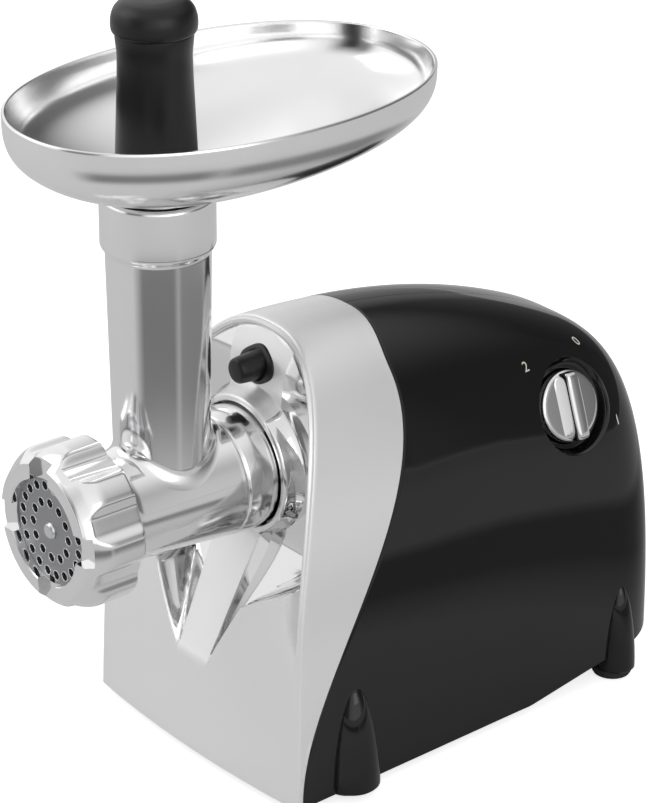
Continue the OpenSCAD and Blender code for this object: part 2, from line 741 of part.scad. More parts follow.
module motor_rear_mount() {
    color([0.1, 0.1, 0.1]) difference() {
        intersection() {
            translate([-16, mount_y, base_z]) cube([32, bracket_t + 2, motor_z - stator_r - base_z + 9]);
            above_underside(base_high, -far);
        }
        on_motor(0) cylinder(r = stator_r + 0.1, h = far);
    }
}
module brush_place() {
    for (a = [0, 180]) on_motor(comm_y + comm_len / 2) rotate([0, 0, a]) rotate([0, 90, 0]) children();
}
module brush_holders() {
    color([0.78, 0.62, 0.32]) {
        brush_place() difference() {
            translate([-4.5, -4.5, 12]) cube([9, 9, 14]);
            translate([-3, -3, 11]) cube([6, 6, 13]);
        }
        for (a = [0, 180]) on_motor(comm_y + comm_len / 2 + 4.5) rotate([0, 0, a])
            translate([22, -4.5, 0]) cube([4, 9, rear_bracket_y - comm_y - comm_len / 2 - 4.5]);
    }
}
module carbon_brushes() {
    color([0.15, 0.15, 0.16]) brush_place() translate([-2.9, -2.9, brush_r + 0.2])
        cube([5.8, 5.8, 14.9]);
}
module armature_shaft() {
    color("silver") on_motor(plane_a - 0.5) cylinder(r = motor_shaft_r, h = shaft_tail - plane_a + 0.5);
}
module armature_core() {
    color([0.45, 0.45, 0.48]) on_motor(stack_y) difference() {
        cylinder(r = rotor_r, h = stack_len);
        translate([0, 0, -1]) cylinder(r = motor_shaft_r, h = far);
        for (k = [0:11]) rotate([0, 0, k * 30]) translate([rotor_r - 4, -0.8, -1]) cube([6, 1.6, far]);
    }
}
module armature_windings() {
    color([0.7, 0.36, 0.16]) for (y = [stack_y - 6, stack_end]) difference() {
        on_motor(y) rotate_extrude() polygon([[0, 0], [12, 0], [15, 1.5], [15, 4.5], [12, 6], [0, 6]]);
        on_motor(0) cylinder(r = motor_shaft_r, h = far);
    }
}
module commutator() {
    color([0.75, 0.45, 0.22]) on_motor(stack_end + 6) difference() {
        union() {
            cylinder(r = 6, h = comm_y - stack_end - 6);
            translate([0, 0, comm_y - stack_end - 6]) cylinder(r = brush_r, h = comm_len);
        }
        translate([0, 0, -1]) cylinder(r = motor_shaft_r, h = far);
    }
}
fan_r = 27;
module cooling_fan() {
    color([0.2, 0.2, 0.22]) on_motor(rear_bracket_y + bracket_t + 3) difference() {
        union() {
            cylinder(r = fan_r, h = 1.5);
            cylinder(r = 6, h = 10);
            for (k = [0:8]) rotate([0, 0, k * 40]) translate([5, -0.7, 0]) cube([fan_r - 6, 1.4, 9]);
        }
        translate([0, 0, -1]) cylinder(r = motor_shaft_r, h = far);
    }
}

// ---- controls ----
switch_w = 30;
spindle_r = 4;
switch_top = -knob_sunk - 3;
module control_knob() {
    color("silver") knob_frame() difference() {
        union() {
            translate([0, 0, -knob_sunk + 0.6]) cylinder(r = knob_r - 0.4, h = knob_sunk);
            translate([0, 0, -knob_sunk + 0.6]) cylinder(r = knob_r, h = knob_sunk - 0.8);
            intersection() {
                translate([-knob_r, -4.5, 0]) cube([2 * knob_r, 9, 7]);
                cylinder(r = knob_r - 0.4, h = 7);
            }
        }
        translate([0, 0, -knob_sunk]) cylinder(r = spindle_r, h = 9);
    }
}
module knob_spindle() {
    color("silver") knob_frame() translate([0, 0, switch_top - 8])
        cylinder(r = spindle_r, h = 17 - knob_sunk - switch_top);
}
module switch_body() {
    color([0.12, 0.12, 0.13]) knob_frame() difference() {
        translate([-switch_w / 2, -switch_w / 2, switch_top - 20]) cube([switch_w, switch_w, 20]);
        translate([0, 0, switch_top - 10]) cylinder(r = spindle_r + fit, h = 20);
    }
}
module cord_gland() {
    color([0.08, 0.08, 0.08]) translate([gland_x, 0, gland_z]) difference() {
        union() {
            rod(gland_r, gland_seat - 8, rear_reach);
            rod(gland_r + 2.4, gland_seat - 3, gland_seat);
        }
        rod(3.6, 0, far);
    }
}

// ---- grinding head ----
flight_r = bore_r - 0.4;
core_front = 11;
core_rear = 8.5;
pitch = 27;
module feed_screw() {
    phases = [-46, -24, 24, 46, for (i = [1:8]) 46 + i * 30];
    len = screw_end - screw_front;
    steps = ceil(len / pitch * 16);
    color([0.78, 0.79, 0.8]) on_barrel(screw_front) skin([for (j = [0:steps])
        let (y = len * j / steps, core = core_front + (core_rear - core_front) * j / steps)
        [for (k = [len(phases) - 1:-1:0])
            let (r = k == 1 || k == 2 ? flight_r : core, a = phases[k] - 360 * y / pitch)
            [r * cos(a), r * sin(a), y]]]);
}
module drive_coupling() {
    journal = 9.5;
    color([0.9, 0.9, 0.86]) difference() {
        union() {
            on_barrel(screw_end) cylinder(r = 19, h = 3.7);
            on_barrel(screw_end + 3.7) cylinder(r = journal, h = tail_end + 2 - screw_end - 3.7);
        }
        on_barrel(tail_end - 4.2) cylinder(r = hex_r + 2 * fit, h = 20, $fn = 6);
    }
}
module screw_bush() {
    color([0.72, 0.55, 0.3]) difference() {
        on_barrel(tail_end - head_wall) cylinder(r = 13, h = head_wall);
        on_barrel(0) cylinder(r = 9.5 + fit, h = far);
    }
}
stud_r = 4;
square = 8.4;
module screw_stud() {
    color([0.8, 0.8, 0.82]) {
        on_barrel(knife_back - knife_t) translate([-square / 2, -square / 2, 0])
            cube([square, square, knife_t]);
        difference() {
            on_barrel(plate_front - 1.6) cylinder(r = stud_r, h = plate_t + 1.6 + knife_gap);
            on_barrel(plate_front - 3) rotate_extrude() polygon([[stud_r - 1, 0], [stud_r + 1, 0],
                [stud_r + 1, 2.6], [stud_r, 2.6], [stud_r - 0.5, 1.8], [stud_r - 1, 1.4]]);
        }
    }
}
knife_r = 23;
module cross_knife() {
    color([0.82, 0.83, 0.85]) on_barrel(plate_back + knife_gap) difference() {
        union() {
            cylinder(r = 9.5, h = knife_t);
            for (k = [0:3]) rotate([0, 0, k * 90]) linear_extrude(knife_t - 1.5)
                polygon([[6, -4.5], [knife_r, -3.2], [knife_r, 2.4], [8, 6.2]]);
        }
        translate([-square / 2 - fit, -square / 2 - fit, -1]) cube([square + 2 * fit, square + 2 * fit, 20]);
    }
}
knife_room = 25;
junction = 20;
module head_casting() {
    color([0.8, 0.81, 0.82]) difference() {
        union() {
            on_barrel(0) rotate_extrude() polygon([[0, -barrel_reach], [thread_r, -barrel_reach],
                [thread_r, nut_front + nut_len + 1], [barrel_r + 0.8, nut_front + nut_len + 5],
                [barrel_r, nut_front + nut_len + 8], [barrel_r + 4, shoulder_y - 0.5],
                [barrel_r + 3.6, shoulder_y], [barrel_r + 4.2, shoulder_y + 1.5],
                [tail_r + 0.8, collar_y - 9],
                [tail_r + 0.4, collar_y - 3], [tail_r, collar_y], [tail_r, tail_end], [0, tail_end]]);
            for (k = [0:2]) on_barrel(lug_y) rotate([0, 0, k * 120])
                sector(tail_r - 2, lug_r, lug_t, -lug_span / 2, lug_span / 2);
            translate([0, 0, barrel_height])
                cylinder(r1 = tube_foot_r - 0.2, r2 = tube_head_r, h = tube_rise - junction);
            translate([0, 0, tube_top - junction - 0.6])
                cylinder(r1 = tube_head_r, r2 = tube_head_r + 2.2, h = 2);
            translate([0, 0, tube_top - junction + 1.4]) cylinder(r = tube_head_r + 2.2, h = junction - 2.4);
            translate([0, 0, tube_top - 1]) cylinder(r1 = tube_head_r + 2.2, r2 = tube_head_r + 1.2, h = 1);
        }
        on_barrel(-far) cylinder(r = bore_r, h = far + tail_end - head_wall);
        on_barrel(plate_back - far) cylinder(r = plate_r + 0.15, h = far);
        on_barrel(plate_back - 1) cylinder(r = knife_room, h = screw_front - plate_back + 2);
        on_barrel(0) cylinder(r = 13, h = far);
        translate([0, 0, barrel_height]) cylinder(r = tube_bore_r, h = far);
        on_barrel(tail_end - 4) sector(latch_r - latch_pin_r - gap, latch_r + latch_pin_r + gap, 10,
            -90 - 6 , -90 + 6 + twist);
        translate([0, 0, barrel_height - key_r]) rod(1.6, -barrel_reach - 1, plate_back + 7);
    }
}
key_r = plate_r - 1.4;
module plate_key() {
    color("silver") translate([0, 0, barrel_height - key_r]) rod(1.6, plate_front + 2, plate_back + 7);
}
inner_holes = 12;
outer_holes = 20;
module cutting_plate() {
    color([0.55, 0.55, 0.57]) on_barrel(plate_front) difference() {
        cylinder(r = plate_r, h = plate_t);
        translate([0, 0, -1]) cylinder(r = stud_r + fit, h = far);
        for (k = [0:inner_holes - 1]) rotate([0, 0, k * 360 / inner_holes])
            translate([plate_r / 2 + 0.2, 0, -1]) cylinder(r = hole_r, h = far);
        for (k = [0:outer_holes - 1]) rotate([0, 0, (k + 0.5) * 360 / outer_holes])
            translate([plate_r - 5.2, 0, -1]) cylinder(r = hole_r, h = far);
        translate([-2, key_r - 2.2, -1]) cube([4, 10, far]);
    }
}
lobes = 8;
lobe_r = 8;
valley_r = nut_r - 4.6;
notches = 4;
notch_depth = 3.6;
module nut_outline() {
    circle(r = valley_r);
    for (k = [0:lobes - 1]) rotate(k * 360 / lobes) translate([nut_r - lobe_r, 0]) circle(r = lobe_r);
}
module ring_nut() {
    color([0.8, 0.81, 0.82]) on_barrel(nut_front) difference() {
        intersection() {
            linear_extrude(nut_len) nut_outline();
            rotate_extrude() polygon([[0, 0], [thread_r + 1.5, 0], [thread_r + 2.6, 1], [nut_r - 2.2, 6.5],
                [nut_r - 0.6, 9.5], [nut_r + 0.1, 13], [nut_r + 0.1, nut_len - 2],
                [nut_r - 1.8, nut_len], [0, nut_len]]);
        }
        translate([0, 0, -1]) cylinder(r = plate_r - 1.5, h = far);
        translate([0, 0, nut_lip - 0.05]) cylinder(r = plate_r + 0.3, h = far);
        translate([0, 0, -barrel_reach - nut_front - 0.1]) cylinder(r = thread_r + gap, h = far);
        for (k = [0:notches - 1]) rotate([0, 0, k * 360 / notches + 4])
            translate([20, -7, -1]) cube([30, 14, notch_depth + 1]);
    }
}

// ---- tray and pusher ----
tray_hole = tube_bore_r - 1.2;
tray_points = 48;
tray_power = 2.16;
function tray_ring(r, z, t) = let (
        ax = tray_hole + (tray_width / 2 - tray_hole) * r - t,
        ay = tray_hole + (tray_len / 2 - tray_hole) * r - t,
        n = 2 + (tray_power - 2) * r, mid = tray_offset * r)
    [for (k = [tray_points - 1:-1:0]) let (a = 360 * k / tray_points, c = cos(a), s = sin(a))
        [ax * sign(c) * pow(abs(c), 2 / n), mid + ay * sign(s) * pow(abs(s), 2 / n), z]];
function dish(r) = tray_depth * (1 - pow(1 - pow(r, 3), 0.5));
dish_steps = [0.25, 0.5, 0.68, 0.8, 0.88, 0.94, 0.98, 1];
tray_floor = tube_top + 0.3 + tray_sheet;
module tray() {
    function circle_ring(r, z) = [for (k = [tray_points - 1:-1:0]) let (a = 360 * k / tray_points)
        [r * cos(a), r * sin(a), z]];
    inside = [for (i = [len(dish_steps) - 1:-1:0])
        tray_ring(dish_steps[i], tray_floor + dish(dish_steps[i]), tray_sheet)];
    outside = [for (r = dish_steps)
        tray_ring(r, tray_floor + dish(r) - (r == 1 ? 0 : tray_sheet), 0)];
    rings = concat([circle_ring(tray_hole, tray_floor - tray_sheet)], outside, inside,
        [circle_ring(tray_hole, tray_floor)]);
    m = len(rings);
    n = tray_points;
    color([0.82, 0.83, 0.84]) polyhedron(points = [for (r = rings) each r], faces = [
        for (j = [0:m - 1]) for (i = [0:n - 1])
            let (next = (i + 1) % n, up = ((j + 1) % m) * n)
            each [[j * n + i, j * n + next, up + i], [j * n + next, up + next, up + i]]]);
}
spigot_len = 28;
spigot_wall = 0.9;
module tray_spigot() {
    color([0.82, 0.83, 0.84]) translate([0, 0, tube_top - spigot_len]) difference() {
        cylinder(r = tray_hole + spigot_wall, h = spigot_len + tray_floor - tray_sheet - tube_top);
        translate([0, 0, -1]) cylinder(r = tray_hole, h = far);
    }
}
pusher_low = barrel_height + bore_r + 6;
cap_z = tube_top + pusher_rise - 20;
module pusher_body() {
    stop_z = tray_floor + gap;
    wall = 2.2;
    color([0.06, 0.06, 0.07]) rotate_extrude() polygon([[0, pusher_low], [pusher_foot_r - 1, pusher_low],
        [pusher_foot_r, pusher_low + 1], [pusher_foot_r - 0.4, stop_z], [pusher_foot_r + 2.6, stop_z],
        [pusher_foot_r + 2.6, stop_z + 2.5], [pusher_foot_r - 0.6, stop_z + 4], [pusher_neck_r, cap_z - 3],
        [pusher_neck_r - 1, cap_z - 2], [pusher_neck_r - 1, cap_z],
        [pusher_neck_r - 1 - wall, cap_z], [pusher_neck_r - 1 - wall, stop_z + 8],
        [pusher_foot_r - 1 - wall, stop_z - 4], [pusher_foot_r - 1 - wall, pusher_low + wall],
        [0, pusher_low + wall]]);
}
module pusher_cap() {
    r = pusher_neck_r + 3.8;
    color([0.06, 0.06, 0.07]) rotate_extrude() polygon([[0, cap_z], [r - 2.5, cap_z],
        [r - 0.6, cap_z + 1.4], [r, cap_z + 4],
        [r, cap_z + 11], [r - 0.8, cap_z + 15], [r - 3, cap_z + 18], [r - 7, cap_z + 19.6], [0, cap_z + 20]]);
}

place() front_mask();
place() housing_right();
place() housing_left();
place() base_plate();
place() rubber_feet();
place() foot_screws();
place() housing_screws();
place() head_socket();
place() socket_screws();
place() gearbox_front_plate();
place() gearbox_rear_plate();
place() gearbox_posts();
place() bearing_bushes();
place() gear_pins();
place() lock_button();
place() lock_latch();
place() lock_spring();
place() control_knob();
place() knob_spindle();
place() switch_body();
place() cord_gland();
place() stator_core();
place() field_coils();
place() motor_front_bracket();
place() motor_rear_bracket();
place() motor_rear_mount();
place() brush_holders();
place() carbon_brushes();
place() motor_bolts();
place() armature_core();
place() armature_shaft();
place() armature_windings();
place() commutator();
place() cooling_fan();
place() motor_pinion();
place() gear_cluster_a();
place() gear_cluster_b();
place() output_shaft();
place() output_gear();
place() drive_coupling();
place() feed_screw();
place() screw_stud();
place() cross_knife();
place() head_casting();
place() screw_bush();
place() plate_key();
place() cutting_plate();
place() ring_nut();
place() tray();
place() tray_spigot();
place() pusher_body();
place() pusher_cap();
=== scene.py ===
import json
import math

import bpy
import bmesh
import numpy as np
from mathutils import Matrix, Vector


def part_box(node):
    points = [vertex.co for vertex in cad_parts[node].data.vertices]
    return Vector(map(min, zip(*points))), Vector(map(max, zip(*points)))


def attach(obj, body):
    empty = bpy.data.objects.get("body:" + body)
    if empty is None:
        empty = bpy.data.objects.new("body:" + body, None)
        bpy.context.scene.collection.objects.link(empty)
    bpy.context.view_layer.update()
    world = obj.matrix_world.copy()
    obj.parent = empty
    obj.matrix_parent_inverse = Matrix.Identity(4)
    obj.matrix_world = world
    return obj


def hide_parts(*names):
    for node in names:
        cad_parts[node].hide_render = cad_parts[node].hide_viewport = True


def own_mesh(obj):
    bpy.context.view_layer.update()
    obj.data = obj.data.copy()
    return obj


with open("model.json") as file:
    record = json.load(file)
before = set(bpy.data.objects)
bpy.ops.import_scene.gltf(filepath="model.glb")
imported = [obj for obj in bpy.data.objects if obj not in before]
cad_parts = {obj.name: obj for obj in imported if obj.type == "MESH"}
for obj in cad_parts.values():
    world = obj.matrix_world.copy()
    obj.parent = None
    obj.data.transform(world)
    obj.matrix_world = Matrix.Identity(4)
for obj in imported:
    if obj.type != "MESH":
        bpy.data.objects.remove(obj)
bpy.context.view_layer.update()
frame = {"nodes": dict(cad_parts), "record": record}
nodes = frame["nodes"]
print("frame loaded:", len(nodes), "nodes")

mm = 0.001


def middle(node):
    low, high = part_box(node)
    return (low + high) / 2


tubeY = middle("pusher_cap").y          # centre line of the feed tube
barrelZ = middle("cutting_plate").z / mm  # centre line of the barrel, over the table
plateFront = (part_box("cutting_plate")[0].y - tubeY) / mm
nutFront = (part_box("ring_nut")[0].y - tubeY) / mm
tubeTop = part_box("head_casting")[1].z / mm
bodyRear = (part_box("housing_right")[1].y - tubeY) / mm


def place(points):  # millimetres from the feed tube's centre line, to metres in the frame
    p = np.array(points, float) * mm
    p[..., 1] += tubeY
    return p


class Value:
    def __init__(self, finish, socket):
        self.finish, self.socket = finish, socket

    def calc(self, operation, *others):
        sockets = dict(enumerate([self, *others]))
        return self.finish.node("ShaderNodeMath", {"operation": operation}, sockets)[0]

    def __add__(self, other):
        return self.calc("ADD", other)

    def __sub__(self, other):
        return self.calc("SUBTRACT", other)

    def __mul__(self, other):
        return self.calc("MULTIPLY", other)

    def __pow__(self, other):
        return self.calc("POWER", other)

    def turnedRound(self, operation, other):  # for an operation with the plain number first
        return self.finish.node("ShaderNodeMath", {"operation": operation}, {0: other, 1: self})[0]

    def __rsub__(self, other):
        return self.turnedRound("SUBTRACT", other)

    def __rpow__(self, other):
        return self.turnedRound("POWER", other)

    __radd__ = __add__
    __rmul__ = __mul__


class Finish:
    def __init__(self, name, tree=None):
        self.material = None
        if tree is None:
            self.material = bpy.data.materials.new(name)
            self.material.use_nodes = True
            tree = self.material.node_tree
        self.tree = tree
        self.tree.nodes.clear()

    def node(self, kind, settings=None, sockets=None):
        made = self.tree.nodes.new(kind)
        for key, value in (settings or {}).items():
            if key == "stops":
                ramp = made.color_ramp
                while len(ramp.elements) < len(value):
                    ramp.elements.new(0.5)
                for element, (position, colour) in zip(ramp.elements, value):
                    element.position = position
                    element.color = colour
            else:
                setattr(made, key, value)
        for key, value in (sockets or {}).items():
            socket = made.inputs[key]
            if isinstance(value, Value):
                self.tree.links.new(value.socket, socket)
            else:
                socket.default_value = value
        return [Value(self, output) for output in made.outputs]

    def close(self, surface):
        kind = "ShaderNodeOutputMaterial" if self.material else "ShaderNodeOutputWorld"
        self.node(kind, {}, {"Surface": surface})
        return self.material


def grey(level, alpha=1.0):
    return (level, level, level, alpha)


def objectPlace(finish):  # Object coordinates, which are metres in the frame
    return finish.node("ShaderNodeTexCoord")[3]


def rays(finish):  # whether the camera, a mirror reflection or a clear material looks at the surface
    paths = finish.node("ShaderNodeLightPath")
    return paths[0], paths[3], paths[6]


def noise(finish, scale, detail=2.0, rough=0.5, stretch=(1, 1, 1)):
    moved = finish.node("ShaderNodeMapping", {}, {"Vector": objectPlace(finish), "Scale": stretch})[0]
    return finish.node("ShaderNodeTexNoise", {}, {"Vector": moved, "Scale": scale, "Detail": detail,
                                                  "Roughness": rough})[0]


def rising(finish, value, start, end):  # 0 at the start and 1 at the end
    return finish.node("ShaderNodeMapRange", {}, {0: value, 1: start, 2: end})[0]


def bump(finish, height, strength, distance):
    sockets = {"Height": height, "Strength": strength, "Distance": distance}
    return finish.node("ShaderNodeBump", {}, sockets)[0]


def mixColour(finish, factor, a, b):
    made = finish.node("ShaderNodeMix", {"data_type": "RGBA"}, {0: factor, 6: a, 7: b})
    return made[2]


def metal(name, colour, roughness, spread=0.06, grain=None, grainDepth=0.00002, cloud=0.06, cloudScale=40):
    finish = Finish(name)
    clouds = noise(finish, cloudScale, 3)
    base = mixColour(finish, clouds * cloud, (*colour, 1), grey(0.25))
    rough = clouds * spread + (roughness - spread / 2)
    sockets = {"Base Color": base, "Metallic": 1.0, "Roughness": rough}
    if grain:
        lines = noise(finish, 1.0, 2, 0.6, grain)
        sockets["Normal"] = bump(finish, lines, 0.25, grainDepth)
    return finish.close(finish.node("ShaderNodeBsdfPrincipled", {}, sockets)[0])


plating = {"mirror": 0.06, "satin": 0.32, "mirrorTone": 0.74, "satinTone": 0.93, "satinMetal": 0.4,
           "clouds": 0.03, "cloudScale": 30, "skin": 0.6, "sunk": (0.1, 0.9), "rimInset": (3.8, 3.5),
           "inside": (1.0, 0.985), "maskEnd": (130, 120), "keelSlope": 0.478, "keelSet": 16.4,
           "keelBack": (0.6, 0.0), "keelEdge": (0.3, -0.1)}


def platedPlastic(name):  # mirror bright, and satin on the mask's outer face and band
    finish = Finish(name)
    x, y, z = finish.node("ShaderNodeSeparateXYZ", {}, {0: objectPlace(finish)})
    x, y, z = x * (1 / mm), (y - tubeY) * (1 / mm), z * (1 / mm)
    side, overFoot, overKeel = x.calc("ABSOLUTE"), z - bodyForm["bottom"], z - mask["keelFoot"]
    lean = (z - mask["leanFrom"]).calc("MAXIMUM", 0.0) * (1 / (mask["leanTo"] - mask["leanFrom"]))
    face = (mask["foot"] + plating["skin"] + (x * x) * (mask["bow"] / bodyForm["halfWidth"] ** 2)
            + overFoot * mask["slope"] + (lean ** mask["leanPower"]) * mask["lean"])
    sunk = rising(finish, y - face, *plating["sunk"])
    sideInset, topInset = plating["rimInset"]
    across = side * (1 / (bodyForm["halfWidth"] - sideInset))
    upward = overFoot.calc("MAXIMUM", 0.0) * (1 / (bodyForm["top"] - bodyForm["bottom"] - topInset))
    square = bodyForm["squareness"]
    inside = rising(finish, across ** square + upward ** square, *plating["inside"])
    onMask = rising(finish, y, *plating["maskEnd"])
    keelBack = y - overKeel * plating["keelSlope"] - plating["keelSet"]
    beyond = side - overKeel * (mask["keelSpread"] / (mask["keelTop"] - mask["keelFoot"]))
    beside = rising(finish, beyond, *(mask["keelHalf"] + edge for edge in plating["keelEdge"]))
    onKeel = rising(finish, keelBack, *plating["keelBack"]) * beside
    satin = onMask * (1 - sunk * inside * (1 - onKeel))
    clouds = noise(finish, plating["cloudScale"], 3)
    rough = (satin * (plating["satin"] - plating["mirror"]) + clouds * plating["clouds"]
             + (plating["mirror"] - plating["clouds"] / 2))
    metallic = 1 - satin * (1 - plating["satinMetal"])
    tone = mixColour(finish, satin, grey(plating["mirrorTone"]), grey(plating["satinTone"]))
    sockets = {"Base Color": tone, "Metallic": metallic, "Roughness": rough}
    return finish.close(finish.node("ShaderNodeBsdfPrincipled", {}, sockets)[0])


def plastic(name, colour, roughness, spread=0.04, pebble=0.0, pebbleScale=900, specular=0.5):
    finish = Finish(name)
    clouds = noise(finish, 60, 3)
    sockets = {"Base Color": mixColour(finish, clouds, (*colour, 1), (*(c * 1.25 for c in colour), 1)),
               "Roughness": clouds * spread + (roughness - spread / 2), "Specular IOR Level": specular}
    if pebble:
        sockets["Normal"] = bump(finish, noise(finish, pebbleScale, 2), 0.4, pebble)
    return finish.close(finish.node("ShaderNodeBsdfPrincipled", {}, sockets)[0])


def clip(value, low, high):
    return np.minimum(np.maximum(value, low), high)


def ease(t):
    c = clip(t, 0, 1)
    return c * c * (3 - 2 * c)


def softMax(a, b, width):
    return 0.5 * (a + b + np.sqrt((a - b) ** 2 + width * width))


def softMin(a, b, width):
    return 0.5 * (a + b - np.sqrt((a - b) ** 2 + width * width))


def meshOf(name, grids, keep=None, facing=None):  # each grid: points in millimetres, wrapRows, wrapColumns
    vertices, faces = [], []
    for points, wrapRows, wrapColumns in grids:
        rows, columns = points.shape[:2]
        start = len(vertices)
        vertices += place(points.reshape(-1, 3)).tolist()
        for i in range(rows if wrapRows else rows - 1):
            for j in range(columns if wrapColumns else columns - 1):
                right, down = (j + 1) % columns, ((i + 1) % rows) * columns
                faces.append((start + i * columns + j, start + i * columns + right,
                              start + down + right, start + down + j))
    if keep is not None:
        faces = [f for f in faces if keep(np.mean([vertices[v] for v in f], axis=0))]
    mesh = bpy.data.meshes.new(name)
    mesh.from_pydata(vertices, [], faces)
    cleaned(mesh, facing)
    return mesh


def cleaned(mesh, facing=None, distance=0.000008):  # merges doubles, drops slivers, turns the faces outwards
    work = bmesh.new()
    work.from_mesh(mesh)
    bmesh.ops.remove_doubles(work, verts=work.verts, dist=distance)
    bmesh.ops.dissolve_degenerate(work, dist=distance, edges=work.edges)
    bmesh.ops.delete(work, geom=[v for v in work.verts if not v.link_faces], context="VERTS")
    bmesh.ops.recalc_face_normals(work, faces=work.faces)
    if facing is not None:
        total = sum((f.normal * f.calc_area() for f in work.faces), Vector())
        if total.dot(Vector(facing)) < 0:
            bmesh.ops.reverse_faces(work, faces=work.faces)
    work.to_mesh(mesh)
    work.free()
    mesh.update()


def shaded(mesh, angle=35):
    mesh.polygons.foreach_set("use_smooth", [True] * len(mesh.polygons))
    mesh.set_sharp_from_angle(angle=math.radians(angle))


def newPiece(name, mesh):
    piece = bpy.data.objects.new(name, mesh)
    bpy.context.scene.collection.objects.link(piece)
    return piece


def finished(piece, body, finish, replaced=(), angle=35):
    piece.data.materials.clear()
    piece.data.materials.append(finishes[finish])
    shaded(piece.data, angle)
    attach(piece, body)
    if replaced:
        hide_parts(*replaced)
    print(piece.name, len(piece.data.polygons), "faces")
    return piece


def plainMesh(thing):
    graph = bpy.context.evaluated_depsgraph_get()
    return bpy.data.meshes.new_from_object(thing.evaluated_get(graph))


def applied(piece):  # turns the modifiers' result into the piece's own plain mesh
    mesh = plainMesh(piece)
    old = piece.data
    piece.modifiers.clear()
    piece.data = mesh
    bpy.data.meshes.remove(old)


def thickened(piece, thickness):
    modifier = piece.modifiers.new("wall", "SOLIDIFY")
    modifier.thickness = thickness * mm
    modifier.offset = -1
    applied(piece)


def joined(piece, *meshes):
    work = bmesh.new()
    work.from_mesh(piece.data)
    for mesh in meshes:
        work.from_mesh(mesh)
        bpy.data.meshes.remove(mesh)
    work.to_mesh(piece.data)
    work.free()


def turned(profile, centre=(0, 0, 0), axis="z", count=96):  # turns (radius, height) points round an axis
    profile = np.asarray(profile, float)
    angle = np.linspace(0, 2 * math.pi, count, endpoint=False)
    r, h = profile[:, 0][:, None], profile[:, 1][:, None]
    a, b, c = r * np.cos(angle), r * np.sin(angle), h + 0 * angle
    points = np.stack((a, b, c) if axis == "z" else (a, c, b), axis=-1)
    return points + np.asarray(centre, float), False, True


def ringed(profile, centre=(0, 0, 0), axis="z", count=96):  # the same, with the profile closed on itself
    points, _, _ = turned(profile, centre, axis, count)
    return points, True, True


def softened(profile, radius, steps=4, closed=False):  # rounds the corners of a profile
    points = [np.asarray(p, float) for p in profile]
    radii = list(radius) if hasattr(radius, "__len__") else [radius] * len(points)
    out = []
    for i, corner in enumerate(points):
        if not closed and i in (0, len(points) - 1):
            out.append(corner)
            continue
        before, after = points[i - 1] - corner, points[(i + 1) % len(points)] - corner
        reach = min(radii[i], np.linalg.norm(before) * 0.45, np.linalg.norm(after) * 0.45)
        if reach < 0.01:
            out.append(corner)
            continue
        start = corner + before / np.linalg.norm(before) * reach
        end = corner + after / np.linalg.norm(after) * reach
        for t in np.linspace(0, 1, steps + 1):
            out.append((1 - t) ** 2 * start + 2 * t * (1 - t) * corner + t * t * end)
    return np.array(out)


bodyForm = {"halfWidth": 78, "sideTaper": 2.5, "taperFrom": 20, "taperRun": 140, "top": 215.5, "bottom": 4,
            "rear": bodyRear, "rearRound": 46, "rearPower": 2.6, "crestPower": 3.5,
            "ridgeStart": 62, "ridgeReach": 356, "ridgeFall": 300,
            "squareness": 2.5, "squarer": 0.4, "squarerFrom": 100, "squarerRun": 150,
            "riseStart": 168, "rearRise": 16.6, "gap": 0.15}
seamLine = {"foot": 21, "sweep": 82, "sweepFrom": 7, "sweepRun": 186, "crest": 8, "crestFrom": 195,
            "crestRun": 20}


def rearPart(y):
    return clip((y - (bodyForm["rear"] - bodyForm["rearRound"])) / bodyForm["rearRound"], 0, 1)


def halfWidth(y):
    taper = clip((y - bodyForm["taperFrom"]) / bodyForm["taperRun"], 0, 1)
    power = bodyForm["rearPower"]
    return (bodyForm["halfWidth"] - bodyForm["sideTaper"] * taper) * (1 - rearPart(y) ** power) ** (1 / power)


def crown(y):
    t = clip((y - bodyForm["ridgeStart"]) / bodyForm["ridgeReach"], 0, 1)
    top = bodyForm["top"] - bodyForm["ridgeFall"] * (1 - np.sqrt(1 - t * t))
    mid = (top + bodyForm["bottom"]) / 2
    power = bodyForm["crestPower"]
    return mid + (top - mid) * (1 - rearPart(y) ** power) ** (1 / power)


def archPower(y):
    behind = clip((y - bodyForm["squarerFrom"]) / bodyForm["squarerRun"], 0, 1)
    return bodyForm["squareness"] + bodyForm["squarer"] * behind


def archPoint(a, y, inset=0.0):  # (x, z) on the body's arch at y, a quarter turn from the foot to the crest
    n = archPower(y)
    w = np.maximum(halfWidth(y) - inset, 0.0)
    h = np.maximum(crown(y) - inset - bodyForm["bottom"], 1.0)
    return w * clip(np.cos(a), 0, 1) ** (2 / n), bodyForm["bottom"] + h * clip(np.sin(a), 0, 1) ** (2 / n)


def riseAt(y):  # how far the underside has risen at y
    start = bodyForm["riseStart"]
    return bodyForm["rearRise"] * np.maximum(y - start, 0) / (bodyForm["rear"] - start)


def outsideOf(x, y, z):  # below zero inside the body's form, above it outside
    n = archPower(y)
    w, h = np.maximum(halfWidth(y), 0.01), crown(y) - bodyForm["bottom"]
    return (np.abs(x) / w) ** n + (np.maximum(z - bodyForm["bottom"], 0) / h) ** n - 1


def seamY(z):  # where the mask meets the shells
    sweep = ease((z - seamLine["sweepFrom"]) / seamLine["sweepRun"])
    crest = clip((z - seamLine["crestFrom"]) / seamLine["crestRun"], 0, 2)
    return seamLine["foot"] + seamLine["sweep"] * sweep + seamLine["crest"] * crest ** 2


def meetingY(a, surface, start):  # y at which the arch at angle a meets y = surface(x, z)
    y = np.full(np.shape(a), float(start))
    for _ in range(60):
        x, z = archPoint(a, y)
        y = 0.5 * y + 0.5 * surface(x, z)
    return y


def archAngles(steps):  # a quarter turn, with its steps a little closer at both ends
    part = np.linspace(0, 1, steps + 1)
    return (0.35 * part + 0.65 * ease(part)) * math.pi / 2


